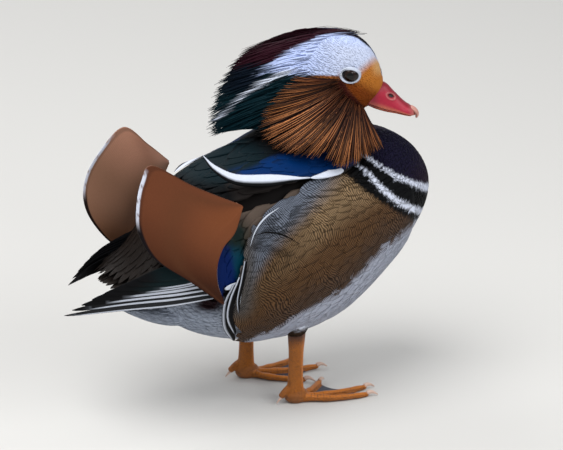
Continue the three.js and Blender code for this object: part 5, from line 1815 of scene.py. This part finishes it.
ball_finish = bare("eye_ball", 0.5, 0.9, 0.0, coat_weight=1.0, coat_roughness=0.02, coat_ior=1.4,
                   specular_ior_level=0)
rim_finish = bare("eye_rim", 0.5, 0.9, 0.00012)
for name, side in SIDES.items():
    points, faces = ball(lambda t, turn: ball_place(t, turn, side), 48, 48)
    eye = made(f"eye_ball_{name}", points, outward(points, faces))
    dyed(eye, eye_dye(points))
    eye.data.materials.append(ball_finish)
    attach(eye, "root")
    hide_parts(f"eye_{name}")
    t, turn = np.meshgrid(np.linspace(0, 1, 13)[:-1], np.linspace(0, 2 * np.pi, 65)[:-1], indexing="ij")
    points, faces = lid_place(t, turn, side).reshape(-1, 3), ring_faces(12, 64)
    lids = made(f"eye_lids_{name}", points, outward(points, faces))
    black = ramp(0.45, 0.55, t.ravel())
    dyed(lids, painted(points, shade("c3cbdd", 0.85), (shade("050404", 1.3), black)))
    lids.data.materials.append(rim_finish)
    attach(lids, "root")


# Legs
#
# Orange legs and toes with a skin of horny scales: broad ones down the front and over the toes, small ones
# elsewhere. Blue-grey webs join the three front toes, and each toe ends in a pale claw.

LEGS = {
    "right": {"x": 0, "y": -26, "turn": -4, "toes": [[-17, 45, -5], [-2, 47, -3], [38, 31, -2]]},
    "left": {"x": -6, "y": 26, "turn": -16, "toes": [[27, 40, -2], [2, 46, -3], [-30, 38, -4]]},
}
FLOOR, TOP = -3, 52


def foot_point(leg, ahead, out, z):
    """A point of a foot from how far it lies ahead of the leg, beside it and above the floor."""
    way = np.radians(leg["turn"])
    x = leg["x"] + ahead * np.cos(way) - out * np.sin(way)
    y = leg["y"] + ahead * np.sin(way) + out * np.cos(way)
    return xyz(x, y, FLOOR + z)


def toe_point(leg, digit, t, z, beyond=0):
    """The point at t along a toe, at a height, which may lie beyond its tip."""
    turn, long, bow = digit
    cosine, sine = np.cos(np.radians(turn)), np.sin(np.radians(turn))
    ahead, out = long * t + beyond, bow * np.sin(np.pi * np.minimum(1, t * 0.9 + 0.1))
    return foot_point(leg, 1 + cosine * ahead - sine * out, sine * ahead + cosine * out, z)


def tube(path, wide, high, rings, around, flat=(0, 0, 1), ends=(0.5, 0.5)):
    """A limb round a path, closed at both ends: wide across and high towards the flat direction."""
    def at(t, turn):
        way = unit(path(np.minimum(1, t + 0.01)) - path(np.maximum(0, t - 0.01)))
        across = unit(np.cross(np.array(flat, float), way))
        up = np.cross(way, across)
        close = np.clip(np.minimum(t * rings / (ends[0] * 6), (1 - t) * rings / (ends[1] * 6)), 0, 1)
        close = np.sqrt(1 - (1 - close) ** 2)
        aside, above = wide(t) * np.cos(turn) * close, high(t) * np.sin(turn) * close
        return path(t) + across * aside[..., None] + up * above[..., None]
    return ball(at, rings, around)


def shank_path(leg, t):
    """The middle of the shank from the floor up, leaning forward a little."""
    return xyz(leg["x"] - 1.5 * (1 - t), leg["y"], mix(FLOOR + 4, TOP, t))


def toe_size(values, t):
    """A toe's half-width or half-height, thicker at each of its four knuckles by a bell."""
    knuckles = np.exp(-(((t[..., None] - [0.08, 0.36, 0.62, 0.86]) / 0.06) ** 2)).sum(-1)
    return through(values, t) * (1 + 0.1 * knuckles - 0.06)


def knob_place(leg, t, turn):
    """The knob that joins the toes."""
    x = leg["x"] - 0.5 + 8 * np.sin(np.pi * t) * np.cos(turn)
    y = leg["y"] + 6.6 * np.sin(np.pi * t) * np.sin(turn)
    return xyz(x, y, FLOOR + 4 + 5.2 * np.cos(np.pi * t))


def web_place(leg, toes, a, b, off):
    """The web between two toes, a along them and b across, with its front edge hollowed."""
    long = (0.93 - 0.16 * np.sin(np.pi * b)) * a
    first, second = (toe_point(leg, digit, long, off) for digit in toes)
    return mix(first, second, b[..., None])


def web_top(a, b):
    """The height of a web's upper side, which falls towards its front edge."""
    return mix(1.7, 1.25, a)


def leg_parts(leg):
    """The shank, the toes, the hind toe, the knob and the webs, before they grow together."""
    yield tube(lambda t: shank_path(leg, t), lambda t: through([6.2, 5.2, 4.9, 5.1, 5.9, 6.2], t),
               lambda t: through([4.8, 4, 3.7, 3.8, 4.6, 4.8], t), 60, 32, (0, 1, 0))
    for digit in leg["toes"]:
        yield tube(lambda t: toe_point(leg, digit, t, mix(3, 1.6, t)),
                   lambda t: toe_size([3.3, 2.4, 2.5, 2.1, 2.2, 1.7], t),
                   lambda t: toe_size([3.3, 2.2, 2.1, 1.8, 1.8, 1.5], t), 80, 24)
    yield tube(lambda t: foot_point(leg, mix(-4, -12.5, t), -1.5 * t, through([10, 8, 4.8], t)),
               lambda t: mix(2.8, 1.9, t), lambda t: mix(2.8, 1.9, t), 30, 20)
    yield ball(lambda t, turn: knob_place(leg, t, turn), 24, 32)
    for toes in zip(leg["toes"][:2], leg["toes"][1:]):
        yield sheet(lambda a, b, off: web_place(leg, toes, a, b, off), 30, 24, 0.35, web_top)[:2]


def leg_dye(points, leg, edge):
    """Orange skin with a darker joint and underside, blue-grey on the webs."""
    z = points[:, 2] - FLOOR
    return painted(
        points, shade("bd6c16", 0.95),
        (shade("5b3320", 0.9), ramp(36, 46, z)),
        (shade("8a5a3a", 0.9), ramp(9, 4, z) * 0.4 * ramp(4, -4, points[:, 0] - leg["x"])),
        (shade("363c4c", 1.1), ramp(2.6, 3.6, edge) * ramp(3.4, 2.6, z)),
    )


def scute_values(points, leg):
    """At each point of a leg: how many scutes lie below it on the shank or behind it on its toe, how much
    of its skin is scutes, and how much is web."""
    steps = np.linspace(0, 1, 60)
    reach, along, top = np.full(len(points), 99.0), points[:, 2] / 2.4, np.zeros(len(points))
    for digit in leg["toes"]:
        line = toe_point(leg, digit, steps, mix(3, 1.6, steps))
        far = np.linalg.norm(points[:, None] - line[None], axis=-1)
        nearest, gap = far.argmin(1), far.min(1)
        closer = gap < reach
        along = np.where(closer & (points[:, 2] < 8), steps[nearest] * digit[1] / 1.9, along)
        top = np.where(closer, (points[:, 2] - line[nearest, 2]) / np.maximum(gap, 0.5), top)
        reach = np.minimum(reach, gap)
    ahead, high = points[:, 0] - leg["x"], points[:, 2] - FLOOR
    front = mix(ramp(0.35, 0.6, top) * ramp(3.4, 2.6, reach), ramp(0.6, 1.8, ahead), ramp(6, 10, high))
    turned = np.degrees(np.arctan2(points[:, 1] - leg["y"], ahead)) - leg["turn"]
    first, *_, last = sorted(toe[0] for toe in leg["toes"])
    between = ramp(first - 1, first + 2, turned) * ramp(last + 1, last - 2, turned)
    web = ramp(2.6, 3.4, reach) * ramp(5, 3.6, high) * ramp(6, 10, ahead) * between
    return along, front, web


def scaly(name):
    """Scaled skin: broad scutes at even steps where the attribute says, small cells elsewhere."""
    finish = Finish(name, specular_ior_level=0.5)
    along, front, soft = finish.apart(finish.read("scute", "Vector"))
    where = finish.place()
    sockets = {"Vector": where, "Scale": 1.25}
    cells = finish.node("TexVoronoi", {"feature": "DISTANCE_TO_EDGE"}, sockets, "Distance")
    saw = along.maths("FRACT")
    scute = saw.rises(0.0, 0.14) * (1 - saw.rises(0.9, 1.0) * 0.6)
    relief = scute * front + cells.rises(0.0, 0.16) * (1 - front)
    relief = relief * (1 - soft) + soft * finish.noise(where, 0.8, 4.0)
    # The relief also lightens the colour on the scales and darkens it in the grooves between them: painted
    # highlight and shade.
    light = relief * 0.6 + 0.48 + (finish.noise(where, 0.25, 3.0) - 0.5) * 0.4
    colour = finish.lit(finish.read("dye"), light)
    return finish.wear(base_color=colour, roughness=relief * -0.12 + 0.5, normal=finish.bump(relief, 0.0005))


scales = scaly("leg_scales")
claw_horn = bare("claw_horn", 0.35, 0.5, 0.0001)
for name, leg in LEGS.items():
    shells = [made("shell", points, outward(points, faces)) for points, faces in leg_parts(leg)]
    with bpy.context.temp_override(active_object=shells[0], selected_editable_objects=shells):
        bpy.ops.object.join()
    leg_skin = shells[0]
    leg_skin.name = f"leg_skin_{name}"
    settled(leg_skin, kind="REMESH", mode="VOXEL", voxel_size=0.0005, use_smooth_shade=True)
    settled(leg_skin, kind="SMOOTH", factor=0.5, iterations=3)
    points = points_of(leg_skin)
    points[:, 2] = np.maximum(points[:, 2], FLOOR)
    leg_skin.data.vertices.foreach_set("co", metres(points).astype(np.float32).ravel())
    along, front, web = scute_values(points, leg)
    dyed(leg_skin, leg_dye(points, leg, np.where(web > 0.1, 2.2 + 1.4 * web, 0)))
    marked(leg_skin, "scute", "FLOAT_VECTOR", "vector", xyz(along, front, web))
    leg_skin.data.materials.append(scales)
    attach(leg_skin, "root")
    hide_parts(f"tarsus_{name}", f"foot_{name}", f"hallux_{name}")
    claws = [tube(lambda t: toe_point(leg, digit, 0.96, through([2.4, 3.2, 2.6, 1], t), 7.5 * t),
                  lambda t: mix(1.6, 0.25, t), lambda t: mix(1.8, 0.3, t), 24, 16, ends=(0.5, 0.2))
             for digit in leg["toes"]]
    claws.append(tube(lambda t: foot_point(leg, mix(-11.5, -15, t), -1.5, through([5, 3.3, 1.2], t)),
                      lambda t: mix(1.1, 0.25, t), lambda t: mix(1.1, 0.25, t), 16, 12, ends=(0.5, 0.2)))
    for number, (points, faces) in enumerate(claws, 1):
        piece = made(f"claw_horn_{name}_{number}", points, outward(points, faces))
        dyed(piece, shade("b59a8c", 1.3))
        piece.data.materials.append(claw_horn)
        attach(piece, "root")
        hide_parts(f"claw_{name}_{number}")
